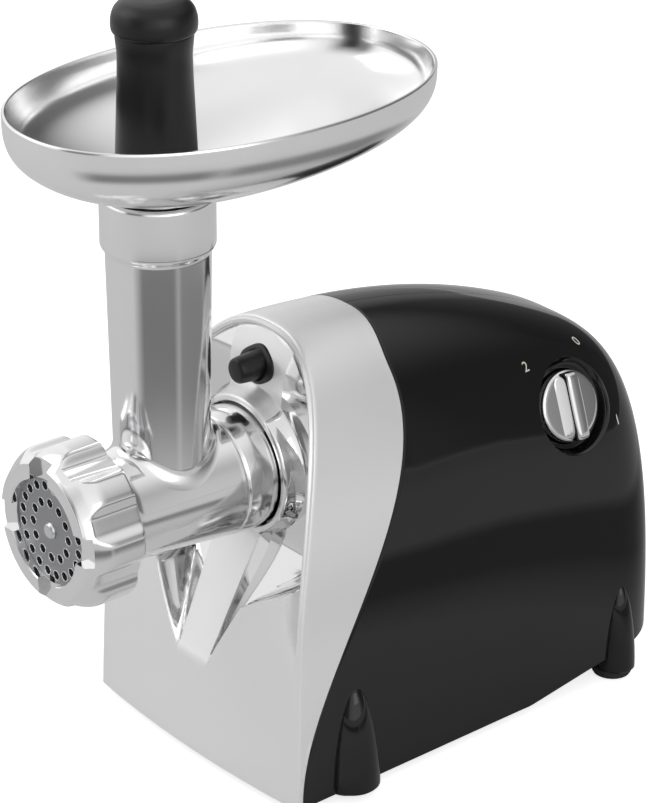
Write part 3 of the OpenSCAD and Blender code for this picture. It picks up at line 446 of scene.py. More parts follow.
shell = {"wall": 2.4, "seam": 0.16, "edge": 0.5, "angleSteps": 84, "lengthSteps": 76, "rearSteps": 30,
         "pods": ((74, 54, 13.5, 53), (73, 229, 9.5, 47)), "podFoot": 0.8, "podSteps": 24, "podPower": 1.7,
         "podSpacing": 1.6}  # a pod: distance from the middle, place along y, radius, height
knob = {"spot": (55, bodyRear - 64, 149), "tilt": 20, "radius": 18, "dish": 24.5, "sunk": 5}


def shellHalf(side):
    a = archAngles(shell["angleSteps"])
    front = meetingY(a, lambda x, z: seamY(z) + bodyForm["gap"], 60)
    straight = bodyForm["rear"] - bodyForm["rearRound"]
    s = np.concatenate([[0, 0.002, 0.006], np.linspace(0.012, 1, shell["lengthSteps"])])[:, None]
    along = front + s * (straight - front)
    turn = np.linspace(0, math.pi / 2, shell["rearSteps"] + 1)[1:, None]
    behind = straight + bodyForm["rearRound"] * np.sin(turn) ** (2 / bodyForm["rearPower"]) + 0 * a
    y = np.vstack([along, behind])
    risen = riseAt(y) / np.maximum(crown(y) - bodyForm["bottom"], 1)
    foot = np.arcsin(clip(risen ** (archPower(y) / 2), 0, 1))
    angle = foot + a * (1 - foot / (math.pi / 2))  # the arch starts on the risen underside
    x, z = archPoint(angle, y)
    inward = np.zeros_like(y)           # the front edge rolls in a little, so that the joint shows
    inward[0], inward[1] = shell["edge"], shell["edge"] * 0.25
    x, z = x - inward * np.cos(angle), z - inward * np.sin(angle)
    x = np.maximum(x, 0) + shell["seam"]
    top = np.stack([0 * x[:, -1:] + shell["seam"], y[:, -1:], z[:, -1:] - shell["edge"]], axis=-1)
    points = np.concatenate([np.stack([x, y, z], axis=-1), top], axis=1)
    points[..., 0] *= side
    return points


def podGrid(side, x, y, radius, height):  # the tapering feet on the shells' sides
    t = 1 - (1 - np.linspace(0, 1, shell["podSteps"] + 1)) ** shell["podSpacing"]
    r = radius * np.sqrt(np.maximum(1 - t ** shell["podPower"], 0))
    foot = shell["podFoot"]
    profile = [(0, 0), (radius - foot, 0), (radius, foot)]
    profile += [(q, foot + (height - foot) * p) for q, p in zip(r[1:], t[1:])]
    return turned(profile, (side * x, y, bodyForm["bottom"]), "z", 64)


def knobFrame():  # from the knob's own millimetres to the frame
    tilt = math.radians(knob["tilt"])
    axis = Vector((math.cos(tilt), 0, math.sin(tilt)))
    along = Vector((0, 1, 0))
    upward = axis.cross(along)
    turn = Matrix((along, upward, axis)).transposed().to_4x4()
    return Matrix.Translation(Vector(place([knob["spot"]])[0])) @ turn @ Matrix.Scale(mm, 4)


def inKnobFrame(name, grids):
    mesh = meshOf(name, grids)
    back = Matrix.Scale(1 / mm, 4) @ Matrix.Translation((0, -tubeY, 0))
    mesh.transform(knobFrame() @ back)
    return mesh


def combined(piece, other, operation="DIFFERENCE"):
    tool = newPiece("tool", other)
    modifier = piece.modifiers.new("form", "BOOLEAN")
    modifier.object = tool
    modifier.operation = operation
    modifier.solver = "EXACT"
    applied(piece)
    bpy.data.objects.remove(tool)
    bpy.data.meshes.remove(other)


def makeShells():
    for side, name in ((1, "housing_right"), (-1, "housing_left")):
        mesh = meshOf(name + "_form", [(shellHalf(side), False, False)], facing=(side, 0, 0.2))
        piece = newPiece(name + "_shell", mesh)
        thickened(piece, shell["wall"])
        if side > 0:
            dish = knob["dish"]
            combined(piece, inKnobFrame("dishCutter", [turned([(0, -9), (dish, -9), (dish, 30), (0, 30)])]))
        pods = [meshOf("pod", [podGrid(side, *p)]) for p in shell["pods"]]
        joined(piece, *pods)
        finished(piece, "machine", "black_gloss", (name,))


def surfaceHeight(u, v):  # height of the body's form over the knob's own plane, found by halving
    low, high = -25.0, 25.0
    frameOf = np.array(knobFrame())
    for _ in range(40):
        mid = (low + high) / 2
        p = (frameOf @ np.array([u, v, mid, 1]))[:3] / mm
        p[1] -= tubeY / mm
        if outsideOf(*p) > 0:
            high = mid
        else:
            low = mid
    return (low + high) / 2


def makeDish():
    count, rows = 96, []
    rim, well = knob["dish"] - 0.02, knob["radius"] + 0.4
    for i in range(count):
        angle = 2 * math.pi * i / count
        u, v = math.cos(angle), math.sin(angle)
        edge = surfaceHeight(u * (rim + 0.9), v * (rim + 0.9))
        top = surfaceHeight(u * rim, v * rim)
        floor = -knob["sunk"] + 0.1
        profile = softened([(rim + 0.9, edge - 0.25), (rim, top + 0.02), (rim - 1.2, top - 1.2),
                            (rim - 3.2, floor), (well + 0.2, floor), (well, floor - 1.5), (0, floor - 1.5)],
                           [0, 0.5, 0.8, 1.2, 0.3, 0.3, 0], 3)
        rows.append([(r * u, r * v, h) for r, h in profile])
    points = np.array(rows)
    piece = newPiece("knob_dish", inKnobFrame("dish", [(points, True, False)]))
    thickened(piece, 0.8)
    finished(piece, "machine", "black_gloss")


grip = {"steps": 44, "across": 26, "half": 4.4, "waist": 0.16, "short": 0.9, "endHalf": 0.35, "endPower": 7,
        "sidePower": 0.45, "topPower": 0.42, "foot": -0.2, "height": 6.9}


def makeKnob():
    r = knob["radius"]
    disc = softened([(0, -4.4), (r - 0.6, -4.4), (r, -3.8), (r, -0.9), (r - 1.0, 0.1), (r - 2.4, 0.3),
                     (0, 0.55)], [0, 0.3, 0.3, 0.8, 0.6, 1.0, 0], 5)
    ridge = []                           # the raised bar, a rounded ridge across the disc
    for i in range(grip["steps"] + 1):
        t = -1 + 2 * i / grip["steps"]
        half = grip["half"] * (1 - grip["waist"] * t * t)
        reach = (r - grip["short"]) * math.sin(t * math.pi / 2)
        edge = max(1 - abs(t) ** grip["endPower"], 0) ** 0.5
        width = half * (grip["endHalf"] + (1 - grip["endHalf"]) * edge)
        row = []
        for j in range(grip["across"] + 1):
            angle = math.pi * j / grip["across"]
            c, s = math.cos(angle), math.sin(angle)
            row.append((math.copysign(abs(c) ** grip["sidePower"], c) * width, reach,
                        grip["foot"] + grip["height"] * abs(s) ** grip["topPower"] * edge))
        ridge.append(row)
    piece = newPiece("switch_knob", inKnobFrame("disc", [turned(disc)]))
    joined(piece, inKnobFrame("grip", [(np.array(ridge), False, False)]))
    finished(piece, "knob", "chromed_plastic", ("control_knob",), 50)


mask = {"rows": 132, "columns": (6, 26, 26), "rim": 3.5, "cove": 1.5, "innerCorner": 0.8, "outerCorner": 1.2,
        "wall": 1.1, "foot": 13, "bow": 4.6, "slope": 0.04,
        "lean": 42, "leanPower": 1.9, "leanFrom": 60, "leanTo": 215,
        "keelFoot": 53, "keelTop": 116, "keelHalf": 11, "keelSpread": 4, "keelRound": 0.7, "aboveKeel": 24,
        "lipSide": 33, "lipSlope": 1.8, "sideSlope": 0.56, "lipSoft": 4, "lipSofter": 10, "softRun": 30,
        "floor": 55, "floorFoot": 14, "floorSlope": 0.7, "floorBlend": 6, "sunkBlend": 3,
        "spike": 70, "spikeRun": 30, "spikeDepth": 2.6, "spikeWidth": 7, "collar": 45, "bandSteps": 30,
        "edgeRoll": (0.4, 0.25)}


def panelY(x, z):  # front face of the mask
    lean = np.maximum(z - mask["leanFrom"], 0) / (mask["leanTo"] - mask["leanFrom"])
    return (mask["foot"] + mask["bow"] * (x / bodyForm["halfWidth"]) ** 2
            + mask["slope"] * (z - bodyForm["bottom"]) + mask["lean"] * lean ** mask["leanPower"])


def lipX(z):  # half-width of the recess between its lips
    turn = mask["keelFoot"] + mask["lipSlope"] * (mask["lipSide"] - mask["keelHalf"])
    low = mask["keelHalf"] + (z - mask["keelFoot"]) / mask["lipSlope"]
    return np.where(z < turn, low, mask["lipSide"] + (z - turn) / mask["sideSlope"])


def lipZ(x):  # height of the lip at x
    side = np.abs(x)
    near = clip(side - mask["keelHalf"], 0, mask["lipSide"] - mask["keelHalf"])
    far = np.maximum(side - mask["lipSide"], 0)
    return mask["keelFoot"] + mask["lipSlope"] * near + mask["sideSlope"] * far


def maskFloor(x, z, edge):  # y of the recess, the lips and the plain face below them
    face = panelY(x, z)
    soft = mask["lipSoft"] + mask["lipSofter"] * clip((np.abs(x) - mask["lipSide"]) / mask["softRun"], 0, 1)
    slope = mask["floorFoot"] + mask["floorSlope"] * (z - mask["keelFoot"])
    deep = softMin(mask["floor"], slope, mask["floorBlend"])
    recess = softMax(deep - face, 1.0, mask["sunkBlend"]) * ease((z - lipZ(x)) / soft)
    crease = mask["spikeDepth"] * ease((z - mask["spike"]) / mask["spikeRun"])
    return face + np.maximum(recess, crease * np.exp(-(edge - np.abs(x)) / mask["spikeWidth"]))


def keelFront(z):
    foot = panelY(0, mask["keelFoot"])
    return foot + (mask["collar"] - foot) * (z - mask["keelFoot"]) / (mask["keelTop"] - mask["keelFoot"])


def between(a, b, steps, fade=False):  # columns from a to b, without b, closer together at b if fade is set
    t = np.linspace(0, 1, steps + 1)[:-1]
    if fade:
        t = np.sin(t * math.pi / 2)
    return a[:, None] + (b - a)[:, None] * t


def maskHalf():
    a = archAngles(mask["rows"])
    rim = mask["rim"]
    front = meetingY(a, panelY, 20)
    xOut, zOut = archPoint(a, front)
    y = front.copy()
    for _ in range(12):
        xIn, zIn = archPoint(a, y, rim)
        y = maskFloor(xIn, zIn, xIn)
    height = y - panelY(xIn, zIn)        # how far the rim stands over the floor
    cove = np.minimum(mask["cove"], 0.45 * height)
    corner = np.minimum(mask["innerCorner"], 0.45 * height)
    wallFoot = np.maximum(xIn - cove, 0)
    spread = clip((zIn - mask["keelFoot"]) / (mask["keelTop"] - mask["keelFoot"]), 0, 1)
    keelEdge = np.minimum(mask["keelHalf"] + mask["keelSpread"] * spread, wallFoot)
    keelSide = np.minimum(keelEdge + mask["keelRound"], wallFoot)
    lip = np.minimum(np.maximum(lipX(zIn), keelSide), wallFoot)
    onKeelSteps, besideSteps, outerSteps = mask["columns"]
    x = np.concatenate([between(0 * lip, keelEdge, onKeelSteps), keelEdge[:, None],
                        between(keelSide, lip, besideSteps, True), between(lip, wallFoot, outerSteps),
                        wallFoot[:, None]], axis=1)
    z = zIn[:, None] + 0 * x
    yFloor = maskFloor(x, z, xIn[:, None])
    onKeel = ((x <= keelEdge[:, None] + 1e-6) & (z > mask["keelFoot"])
              & (z < mask["keelTop"] + mask["aboveKeel"]))
    yFloor = np.where(onKeel, np.minimum(keelFront(z), yFloor), yFloor)
    points = [np.stack([x, yFloor, z], axis=-1)]

    def add(px, py, pz):
        points.append(np.stack([px, py, pz], axis=-1)[:, None, :])

    def arc(*degrees):
        return [(math.sin(math.radians(d)), math.cos(math.radians(d))) for d in degrees]

    last = yFloor[:, -1]
    for s, c in arc(30, 60, 90):          # the cove at the wall's foot
        add(wallFoot + (xIn - wallFoot) * s, last - cove * (1 - c), zIn)
    top = panelY(xIn, zIn)
    for s, c in arc(0, 45, 90):           # the inner corner of the rim
        px, pz = archPoint(a, top, rim - corner * (1 - c))
        add(px, top + corner * (1 - s), pz)
    px = (xIn + xOut) / 2                 # the middle of the rim
    add(px, panelY(px, zIn), (zIn + zOut) / 2)
    outer = mask["outerCorner"]
    for s, c in arc(0, 30, 60, 90):       # the outer corner
        px, pz = archPoint(a, front, outer * (1 - s))
        add(px, front + outer * (1 - c), pz)
    rear = meetingY(a, lambda px, pz: seamY(pz) - bodyForm["gap"], 60)
    for t in np.append(np.linspace(0, 1, mask["bandSteps"])[1:], 1.0):
        py = front + outer + t * (rear - front - outer)
        px, pz = archPoint(a, py)
        add(px, py, pz)
    inward, forward = mask["edgeRoll"]    # the last edge rolls in
    points[-1][:, 0, 0] -= inward * np.cos(a)
    points[-1][:, 0, 2] -= inward * np.sin(a)
    points[-2][:, 0, 1] -= forward
    return np.concatenate(points, axis=1)


collar = {"radii": (33.8, 34.6, 35.5, 37.4, 41), "depths": (45, 46, 51, 54.6, 58), "hole": 31.6, "reach": 41,
          "behind": 62, "slack": 1.2}


def inFrontOfNeck(centre):  # false where the neck and its collar pass through
    x, y, z = centre[0] / mm, (centre[1] - tubeY) / mm, centre[2] / mm - barrelZ
    away = math.hypot(x, z)
    behindCollar = y > np.interp(away, collar["radii"], collar["depths"]) + collar["slack"]
    return y > collar["behind"] or away > collar["reach"] or (away > collar["hole"] and not behindCollar)


lock = {"height": 195.5, "radius": 9.6, "point": 3.0, "pointPower": 6, "proud": 1.2, "inside": 7.3,
        "hole": 8.35, "steps": 72, "edge": 60.0}


def makeMask():
    right = maskHalf()
    left = right * np.array([-1, 1, 1])
    halves = [(right, False, False), (left, False, False)]
    skin = meshOf("mask_skin", halves, inFrontOfNeck, facing=(0, -1, 0))
    piece = newPiece("front_panel", skin)
    thickened(piece, mask["wall"])
    hole = turned([(0, 20), (lock["hole"], 20), (lock["hole"], 80), (0, 80)], (0, 0, lock["height"]), "y", 48)
    combined(piece, meshOf("lock_hole", [hole]))
    outline = softened([(31, 58.4), (31, 45.7), (31.6, 45), (33.6, 45), (34.6, 46), (35.5, 51), (37.4, 54.6),
                        (41, 58), (39.4, 58.4)], [0, 0.2, 0.6, 0.8, 0.8, 2.5, 3, 0.4, 0.4], 4, True)
    joined(piece, meshOf("collar", [ringed(outline, (0, 0, barrelZ), "y", 128)]))
    finished(piece, "machine", "chromed_plastic", ("front_mask",), 28)


def makeLockSurround():  # a flat ring round the button, drawn out to a point on both sides
    inside, proud, rows = lock["inside"], lock["proud"], []
    for i in range(lock["steps"]):
        angle = 2 * math.pi * i / lock["steps"]
        c, s = math.cos(angle), math.sin(angle)
        reach = lock["radius"] + lock["point"] * abs(c) ** lock["pointPower"]
        row = []
        for radius, lift in ((inside, -4.0), (inside, proud - 0.3), (inside + 0.35, proud),
                             (reach - 1.2, proud), (reach - 0.3, proud * 0.6), (reach, -0.5),
                             (reach - 1, -4.0)):
            x, z = radius * c, lock["height"] + radius * s
            row.append((x, float(maskFloor(x, z, lock["edge"])) - lift, z))
        rows.append(row)
    piece = newPiece("lock_surround", meshOf("lock_ring", [(np.array(rows), True, True)]))
    finished(piece, "machine", "black_satin")


def makeLockButton():
    profile = softened([(0, 60.6), (7.9, 60.6), (7.9, 58), (7.0, 56.5), (6.6, 47), (6.2, 44), (5.2, 43),
                        (0, 42.6)], [0, 0.3, 0.5, 1, 2, 1.5, 1, 0], 4)
    piece = newPiece("lock_push", meshOf("push", [turned(profile, (0, 0, lock["height"]), "y", 64)]))
    finished(piece, "lock", "black_satin", ("lock_button",), 40)


spring = {"turns": 6, "wire": 0.45, "steps": 20, "sides": 8, "travel": 5}


def makeSpring():  # the lock's coil, drawn at rest in the lock spring's box; on the real lock it shortens as the lock is pressed
    low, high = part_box("lock_spring")
    size, mid = (high - low) / mm, (low + high) / 2 / mm
    front = (low.y - tubeY) / mm
    wire, sides, count = spring["wire"], spring["sides"], spring["turns"] * spring["steps"]
    along, across = np.meshgrid(np.arange(count + 1), np.arange(sides), indexing="ij")
    angle, tilt = 2 * math.pi * along / spring["steps"], 2 * math.pi * across / sides
    reach = size.x / 2 - wire + wire * np.cos(tilt)
    y = front + wire + (size.y - 2 * wire) * along / count + wire * np.sin(tilt)
    points = np.stack([mid.x + reach * np.cos(angle), y, mid.z + reach * np.sin(angle)], axis=-1)
    centre = points.mean(axis=1)
    caps = [np.stack([points[i], np.repeat(centre[i][None, :], sides, axis=0)]) for i in (0, -1)]
    mesh = meshOf("coil", [(grid, False, True) for grid in (points, *caps)])
    piece = finished(newPiece("lock_coil", mesh), "machine", "spring_steel", ("lock_spring",), 60)
    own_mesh(piece)


head = {"tubeFoot": 22.1, "tubeNeck": 24.2, "collarStart": 270.2, "collarRadius": 26.4, "bore": 20.6,
        "fillet": 5.0, "filletSteps": 8, "filletStart": 0.6, "around": 144, "front": -62, "rear": 62,
        "seat": 27.15, "seatEnd": -58.3, "barrelBore": 22.3, "boreEnd": 50}


def tubeRadius(z):
    rise = (z - barrelZ) / (head["collarStart"] - barrelZ)
    return head["tubeFoot"] + (head["tubeNeck"] - head["tubeFoot"]) * rise


def barrelRadius(y):
    return np.interp(y, [head["front"], -36.9, -32.9, -29.9, 27.5], [31, 31, 26.8, 26, 30])


def makeHead():
    top, step, wide = tubeTop + tray["neck"], head["collarStart"], head["collarRadius"]
    front, rear = head["front"], head["rear"]
    tube = softened([(0, barrelZ), (tubeRadius(barrelZ), barrelZ), (tubeRadius(step - 1), step - 1),
                     (wide - 0.5, step + 1.3), (wide, step + 2.4), (wide, top - 1.6), (wide - 1.2, top),
                     (0, top)], [0, 0, 1.2, 1.0, 1.4, 1.2, 0.7, 0], 4)
    barrel = softened([(0, front), (30.4, front), (31, front + 0.6), (31, -36.9), (26.8, -32.9), (26, -29.9),
                       (27.9, 0), (29.7, 25.5), (29.9, 27.2), (29.3, 28), (30.1, 28.9), (30.8, 36),
                       (30.3, 42), (30, 45), (30, rear), (0, rear)],
                      [0, 0.3, 0.3, 2, 2, 3, 0, 1.5, 0.7, 0.5, 0.7, 3, 1, 0.5, 0.5, 0], 5)
    seat, seatEnd, inner, end = head["seat"], head["seatEnd"], head["barrelBore"], head["boreEnd"]
    bore = [(0, front - 8), (seat, front - 8), (seat, seatEnd), (inner, seatEnd), (inner, end), (0, end)]
    mouth = head["bore"]
    throat = [(0, barrelZ), (mouth, barrelZ), (mouth, top - 1), (mouth + 1, top + 1), (0, top + 1)]
    lying = (0, 0, barrelZ)
    piece = newPiece("grinder_head", meshOf("barrel", [turned(barrel, lying, "y", head["around"])]))
    combined(piece, meshOf("tube", [turned(tube, count=head["around"])]), "UNION")
    combined(piece, meshOf("bore", [turned(bore, lying, "y")]))
    combined(piece, meshOf("throat", [turned(throat)]))
    joined(piece, saddleFillet())
    finished(piece, "head", "cast_aluminium", ("head_casting",), 32)


def saddleFillet():  # the soft run from the tube into the barrel
    size, rows = head["fillet"], []
    start = head["tubeFoot"] + head["filletStart"]
    for i in range(head["around"]):
        angle = 2 * math.pi * i / head["around"]
        c, s = math.cos(angle), math.sin(angle)

        def meet(radius):  # height at which the barrel is met at this distance from the tube's centre line
            x, y = radius * c, radius * s
            r = float(barrelRadius(y))
            return barrelZ + math.sqrt(max(r * r - x * x, 0.0))

        foot = meet(start)
        slope = start * c * c / max(foot - barrelZ, 1)  # how steeply the barrel falls away there
        run = size / math.sqrt(1 + slope * slope)
        high = np.array([tubeRadius(foot + size) - 0.05, foot + size])
        corner = np.array([tubeRadius(foot), foot])
        low = np.array([start + run, meet(start + run) - 0.06])
        row = []
        for t in np.linspace(0, 1, head["filletSteps"] + 1):
            r, z = (1 - t) ** 2 * high + 2 * t * (1 - t) * corner + t * t * low
            row.append((r * c, r * s, z))
        rows.append(row)
    return meshOf("fillet", [(np.array(rows), True, False)])


nut = {"lobes": 8, "lobeRadius": 40.0, "valley": 35.6, "lobeShare": 0.12, "lobeRise": 0.62, "runOut": 5,
       "notches": 4, "notchHalf": 7, "notchDepth": 3.6, "notchReach": (20, 48), "notchTurn": 4,
       "columns": 480}


def nutOutline(angle):
    wave = np.cos(nut["lobes"] * angle)
    lobe = ease(0.5 + nut["lobeRise"] * (wave + nut["lobeShare"]))
    return nut["valley"] + (nut["lobeRadius"] - nut["valley"]) * lobe


def notchBlock(turn):
    (near, far), half = nut["notchReach"], nut["notchHalf"]
    corners = []
    for y in (nutFront - 1, nutFront + nut["notchDepth"]):
        for u, v in ((near, -half), (far, -half), (far, half), (near, half)):
            corners.append((u * math.cos(turn) - v * math.sin(turn), y,
                            barrelZ + u * math.sin(turn) + v * math.cos(turn)))
    block = bpy.data.meshes.new("block")
    block.from_pydata(place(corners).tolist(), [], [(0, 1, 2, 3), (7, 6, 5, 4), (0, 4, 5, 1), (1, 5, 6, 2),
                                                    (2, 6, 7, 3), (3, 7, 4, 0)])
    cleaned(block)
    return block


def makeNut():
    outer = softened([(31.2, 0.35), (32.6, 0), (33.6, 1), (37.6, 6.2), (39.3, 9.5), (40.1, 13), (40.1, 28.4),
                      (38.4, 30), (33, 30)], [0, 0.5, 1.2, 4, 3, 3, 1.6, 1.0, 0], 5)
    inner = [(31.3, 30), (31.3, 5.8), (27.3, 5.75), (27.3, 4.55), (25.5, 4.5), (25.5, 0.5), (26, 0)]
    profile = np.vstack([outer, inner])
    angle = np.linspace(0, 2 * math.pi, nut["columns"], endpoint=False)
    r, y = profile[:, 0][:, None] + 0 * angle, profile[:, 1][:, None] + 0 * angle
    onOutside = (np.arange(len(profile)) < len(outer))[:, None] & (r > 33)
    outline = nutOutline(angle)[None, :]
    sunk = ease((y - 0.5) / nut["runOut"])  # the scallops run out softly at the front
    limited = softMin(r, outline * sunk + (1 - sunk) * np.maximum(outline, r + 2), 0.9)
    r = np.where(onOutside, limited, r)
    points = np.stack([r * np.cos(angle), nutFront + y, barrelZ + r * np.sin(angle)], axis=-1)
    piece = newPiece("lobed_nut", meshOf("nut", [(points, True, True)]))
    for k in range(nut["notches"]):
        combined(piece, notchBlock(math.radians(k * 360 / nut["notches"] + nut["notchTurn"])))
    finished(piece, "nut", "cast_aluminium", ("ring_nut",), 30)


tray = {"hole": 19.4, "width": 142, "length": 216, "rim": 338.8, "neck": 7.6, "gap": 0.4, "sheet": 1.5,
        "offset": 38, "power": 2.16, "lean": 0.804, "round": 1.185, "edge": 0.29, "cone": 0.055,
        "columns": 160, "steps": 60, "spacing": 2.4, "edgeDepth": 4.5, "spoutDepth": 22, "spoutWall": 0.9}


def trayRing(r, z, inset):
    a = np.linspace(0, 2 * math.pi, tray["columns"], endpoint=False)
    n = 2 + (tray["power"] - 2) * r
    across = tray["hole"] + (tray["width"] / 2 - tray["hole"]) * r - inset
    along = tray["hole"] + (tray["length"] / 2 - tray["hole"]) * r - inset
    middleY = tray["offset"] * r ** (tray["lean"] + (1 - tray["lean"]) * r ** 4)
    x = across * np.sign(np.cos(a)) * np.abs(np.cos(a)) ** (2 / n)
    y = middleY + along * np.sign(np.sin(a)) * np.abs(np.sin(a)) ** (2 / n)
    return np.stack([x, y, z + 0 * a], axis=-1)


def trayFoot():  # the underside's lowest height, just over the collar
    return tubeTop + tray["neck"] + tray["gap"]


def trayHeight(r):  # height of the underside
    bend = 1 - (1 - r ** tray["round"]) ** tray["edge"]
    return trayFoot() + (tray["rim"] - trayFoot()) * ((1 - tray["cone"]) * bend + tray["cone"] * r)


def trayInside(r):
    return trayHeight(r) + tray["sheet"] * (1 - r ** 6)


def makeTray():
    sheet, rim, low = tray["sheet"], tray["rim"], trayFoot()
    wallTop = rim - tray["edgeDepth"]
    steps = [1 - (1 - t) ** tray["spacing"] for t in np.linspace(0, 1, tray["steps"] + 1)][:-1]
    outside = [trayRing(r, trayHeight(r), 0) for r in steps if trayHeight(r) < wallTop]
    edge = [trayRing(1, rim - down, inset) for down, inset in (
        (3.2, 0.1), (1.6, 0), (0.5, 0.05), (0, 0.45), (0, sheet - 0.15), (0.4, sheet + 0.25),
        (2.2, sheet + 0.35))]
    inside = [trayRing(r, trayInside(r), sheet * r) for r in reversed(steps) if trayInside(r) < wallTop]
    wall, foot = tray["hole"] + tray["spoutWall"], low - tray["spoutDepth"]
    spout = [(tray["hole"], low + sheet), (tray["hole"], foot), (wall, foot), (wall, low)]
    piece = newPiece("bowl_tray", meshOf("tray", [(np.array(outside + edge + inside), True, True)]))
    joined(piece, meshOf("spout", [ringed(spout)]))
    finished(piece, "tray", "satin_tray", ("tray", "tray_spigot"), 40)


pusher = {"foot": 175.3, "overTray": 0.3, "stemTop": 373, "capFoot": 371.3, "top": 387}


def makePusher():
    low, top = pusher["foot"], pusher["stemTop"]
    flange = trayFoot() + tray["sheet"] + pusher["overTray"]
    stem = softened([(0, low), (17.6, low), (18.6, low + 1), (18.2, flange - 0.02), (21.2, flange),
                     (21.2, flange + 2.2), (19.0, flange + 4.2), (18.4, flange + 18), (16.9, 352),
                     (16.7, 362), (17.5, 368.5), (17.6, 371.5), (12, top), (0, top)],
                    [0, 0.8, 0.8, 0.1, 0.3, 1.0, 2.0, 6, 9, 4, 2.0, 0.6, 0.5, 0], 6)
    foot = pusher["capFoot"]
    cap = softened([(0, foot), (17.2, foot), (19.0, 372.4), (19.4, 375), (19.2, 379), (17.8, 383),
                    (14.5, 385.9), (9.5, 386.9), (0, pusher["top"])], [0, 0.8, 1.4, 1.6, 2.4, 3, 3, 4, 0], 6)
    for name, profile, node in (("pusher_stem", stem, "pusher_body"), ("pusher_head", cap, "pusher_cap")):
        piece = newPiece(name, meshOf(name + "_form", [turned(profile, count=128)]))
        finished(piece, "pusher", "black_satin", (node,), 45)


legend = {"marks": (("2", (46, 183, 173)), ("0", (36, 226, 170)), ("1", (58, 234, 134.5))), "height": 7.5,
          "thickness": 0.12, "proud": 0.05}


def makeLegends():  # plain numbers round the switch knob
    meshes = []
    for mark, spot in legend["marks"]:
        text = bpy.data.curves.new("mark", "FONT")
        text.body = mark
        text.size = legend["height"] * mm
        text.extrude = legend["thickness"] * mm
        text.align_x, text.align_y = "CENTER", "CENTER"
        thing = newPiece("mark", text)
        mesh = plainMesh(thing)
        bpy.data.objects.remove(thing)
        x, y, z = spot
        slope = np.array([outsideOf(x + 0.5, y, z) - outsideOf(x - 0.5, y, z),
                          outsideOf(x, y + 0.5, z) - outsideOf(x, y - 0.5, z),
                          outsideOf(x, y, z + 0.5) - outsideOf(x, y, z - 0.5)])
        out = slope / np.linalg.norm(slope)
        point = np.array(spot, float)
        for _ in range(12):
            point = point - out * outsideOf(*point) / max(float(np.linalg.norm(slope)), 1e-6)
        outward = Vector(out)
        upward = (Vector((0, 0, 1)) - outward * outward.z).normalized()
        across = upward.cross(outward)
        turn = Matrix((across, upward, outward)).transposed().to_4x4()
        mesh.transform(Matrix.Translation(Vector(place([point + out * legend["proud"]])[0])) @ turn)
        meshes.append(mesh)
    piece = newPiece("dial_numbers", bpy.data.meshes.new("numbers"))
    joined(piece, *meshes)
    finished(piece, "machine", "white_plastic")


rims = {"inner": (12, 13.7, 0.0), "outer": (20, 21.8, 0.5), "hole": 2.2, "wire": 0.22, "sunk": 0.4,
        "aroundHole": 28, "aroundWire": 8}  # a circle of holes: count, radius, turn in steps


def rimTree():  # a ring at each hole of the cutting plate
    tree = bpy.data.node_groups.new("plateRims", "GeometryNodeTree")
    for name, kind, value in (("Count", "NodeSocketInt", 12), ("Circle", "NodeSocketFloat", 0.01),
                              ("Turn", "NodeSocketFloat", 0.0), ("Hole", "NodeSocketFloat", 0.002),
                              ("Wire", "NodeSocketFloat", 0.0002)):
        tree.interface.new_socket(name, in_out="INPUT", socket_type=kind).default_value = value
    tree.interface.new_socket("Material", in_out="INPUT", socket_type="NodeSocketMaterial")
    tree.interface.new_socket("Geometry", in_out="OUTPUT", socket_type="NodeSocketGeometry")

    def node(kind, **links):
        made = tree.nodes.new(kind)
        for key, source in links.items():
            tree.links.new(source, made.inputs[key.replace("_", " ")])
        return made

    given = tree.nodes.new("NodeGroupInput").outputs
    circle = node("GeometryNodeMeshCircle", Vertices=given["Count"], Radius=given["Circle"])
    spin = node("ShaderNodeCombineXYZ", Z=given["Turn"])
    turnedPoints = node("GeometryNodeTransform", Geometry=circle.outputs[0], Rotation=spin.outputs[0])
    ring = node("GeometryNodeCurvePrimitiveCircle", Radius=given["Hole"])
    ring.inputs["Resolution"].default_value = rims["aroundHole"]
    wire = node("GeometryNodeCurvePrimitiveCircle", Radius=given["Wire"])
    wire.inputs["Resolution"].default_value = rims["aroundWire"]
    tube = node("GeometryNodeCurveToMesh", Curve=ring.outputs[0], Profile_Curve=wire.outputs[0])
    many = node("GeometryNodeInstanceOnPoints", Points=turnedPoints.outputs[0], Instance=tube.outputs[0])
    plain = node("GeometryNodeRealizeInstances", Geometry=many.outputs[0])
    dressed = node("GeometryNodeSetMaterial", Geometry=plain.outputs[0], Material=given["Material"])
    tree.links.new(dressed.outputs[0], tree.nodes.new("NodeGroupOutput").inputs[0])
    return tree


def makeRims():
    tree = rimTree()
    meshes = []
    for count, circle, turn in (rims["inner"], rims["outer"]):
        piece = newPiece("rims", bpy.data.meshes.new("rims"))
        modifier = piece.modifiers.new("rims", "NODES")
        modifier.node_group = tree
        values = {"Count": count, "Circle": circle * mm, "Turn": turn * 2 * math.pi / count,
                  "Hole": (rims["hole"] + rims["wire"] * rims["sunk"]) * mm, "Wire": rims["wire"] * mm,
                  "Material": finishes["stainless"]}
        for item in tree.interface.items_tree:
            if item.in_out == "INPUT":
                modifier[item.identifier] = values[item.name]
        mesh = plainMesh(piece)
        bpy.data.objects.remove(piece)
        upright = Matrix.Rotation(math.radians(90), 4, "X")
        mesh.transform(Matrix.Translation(Vector(place([(0, plateFront, barrelZ)])[0])) @ upright)
        meshes.append(mesh)
    piece = newPiece("plate_hole_rims", bpy.data.meshes.new("holeRims"))
    joined(piece, *meshes)
    finished(piece, "plate", "stainless")


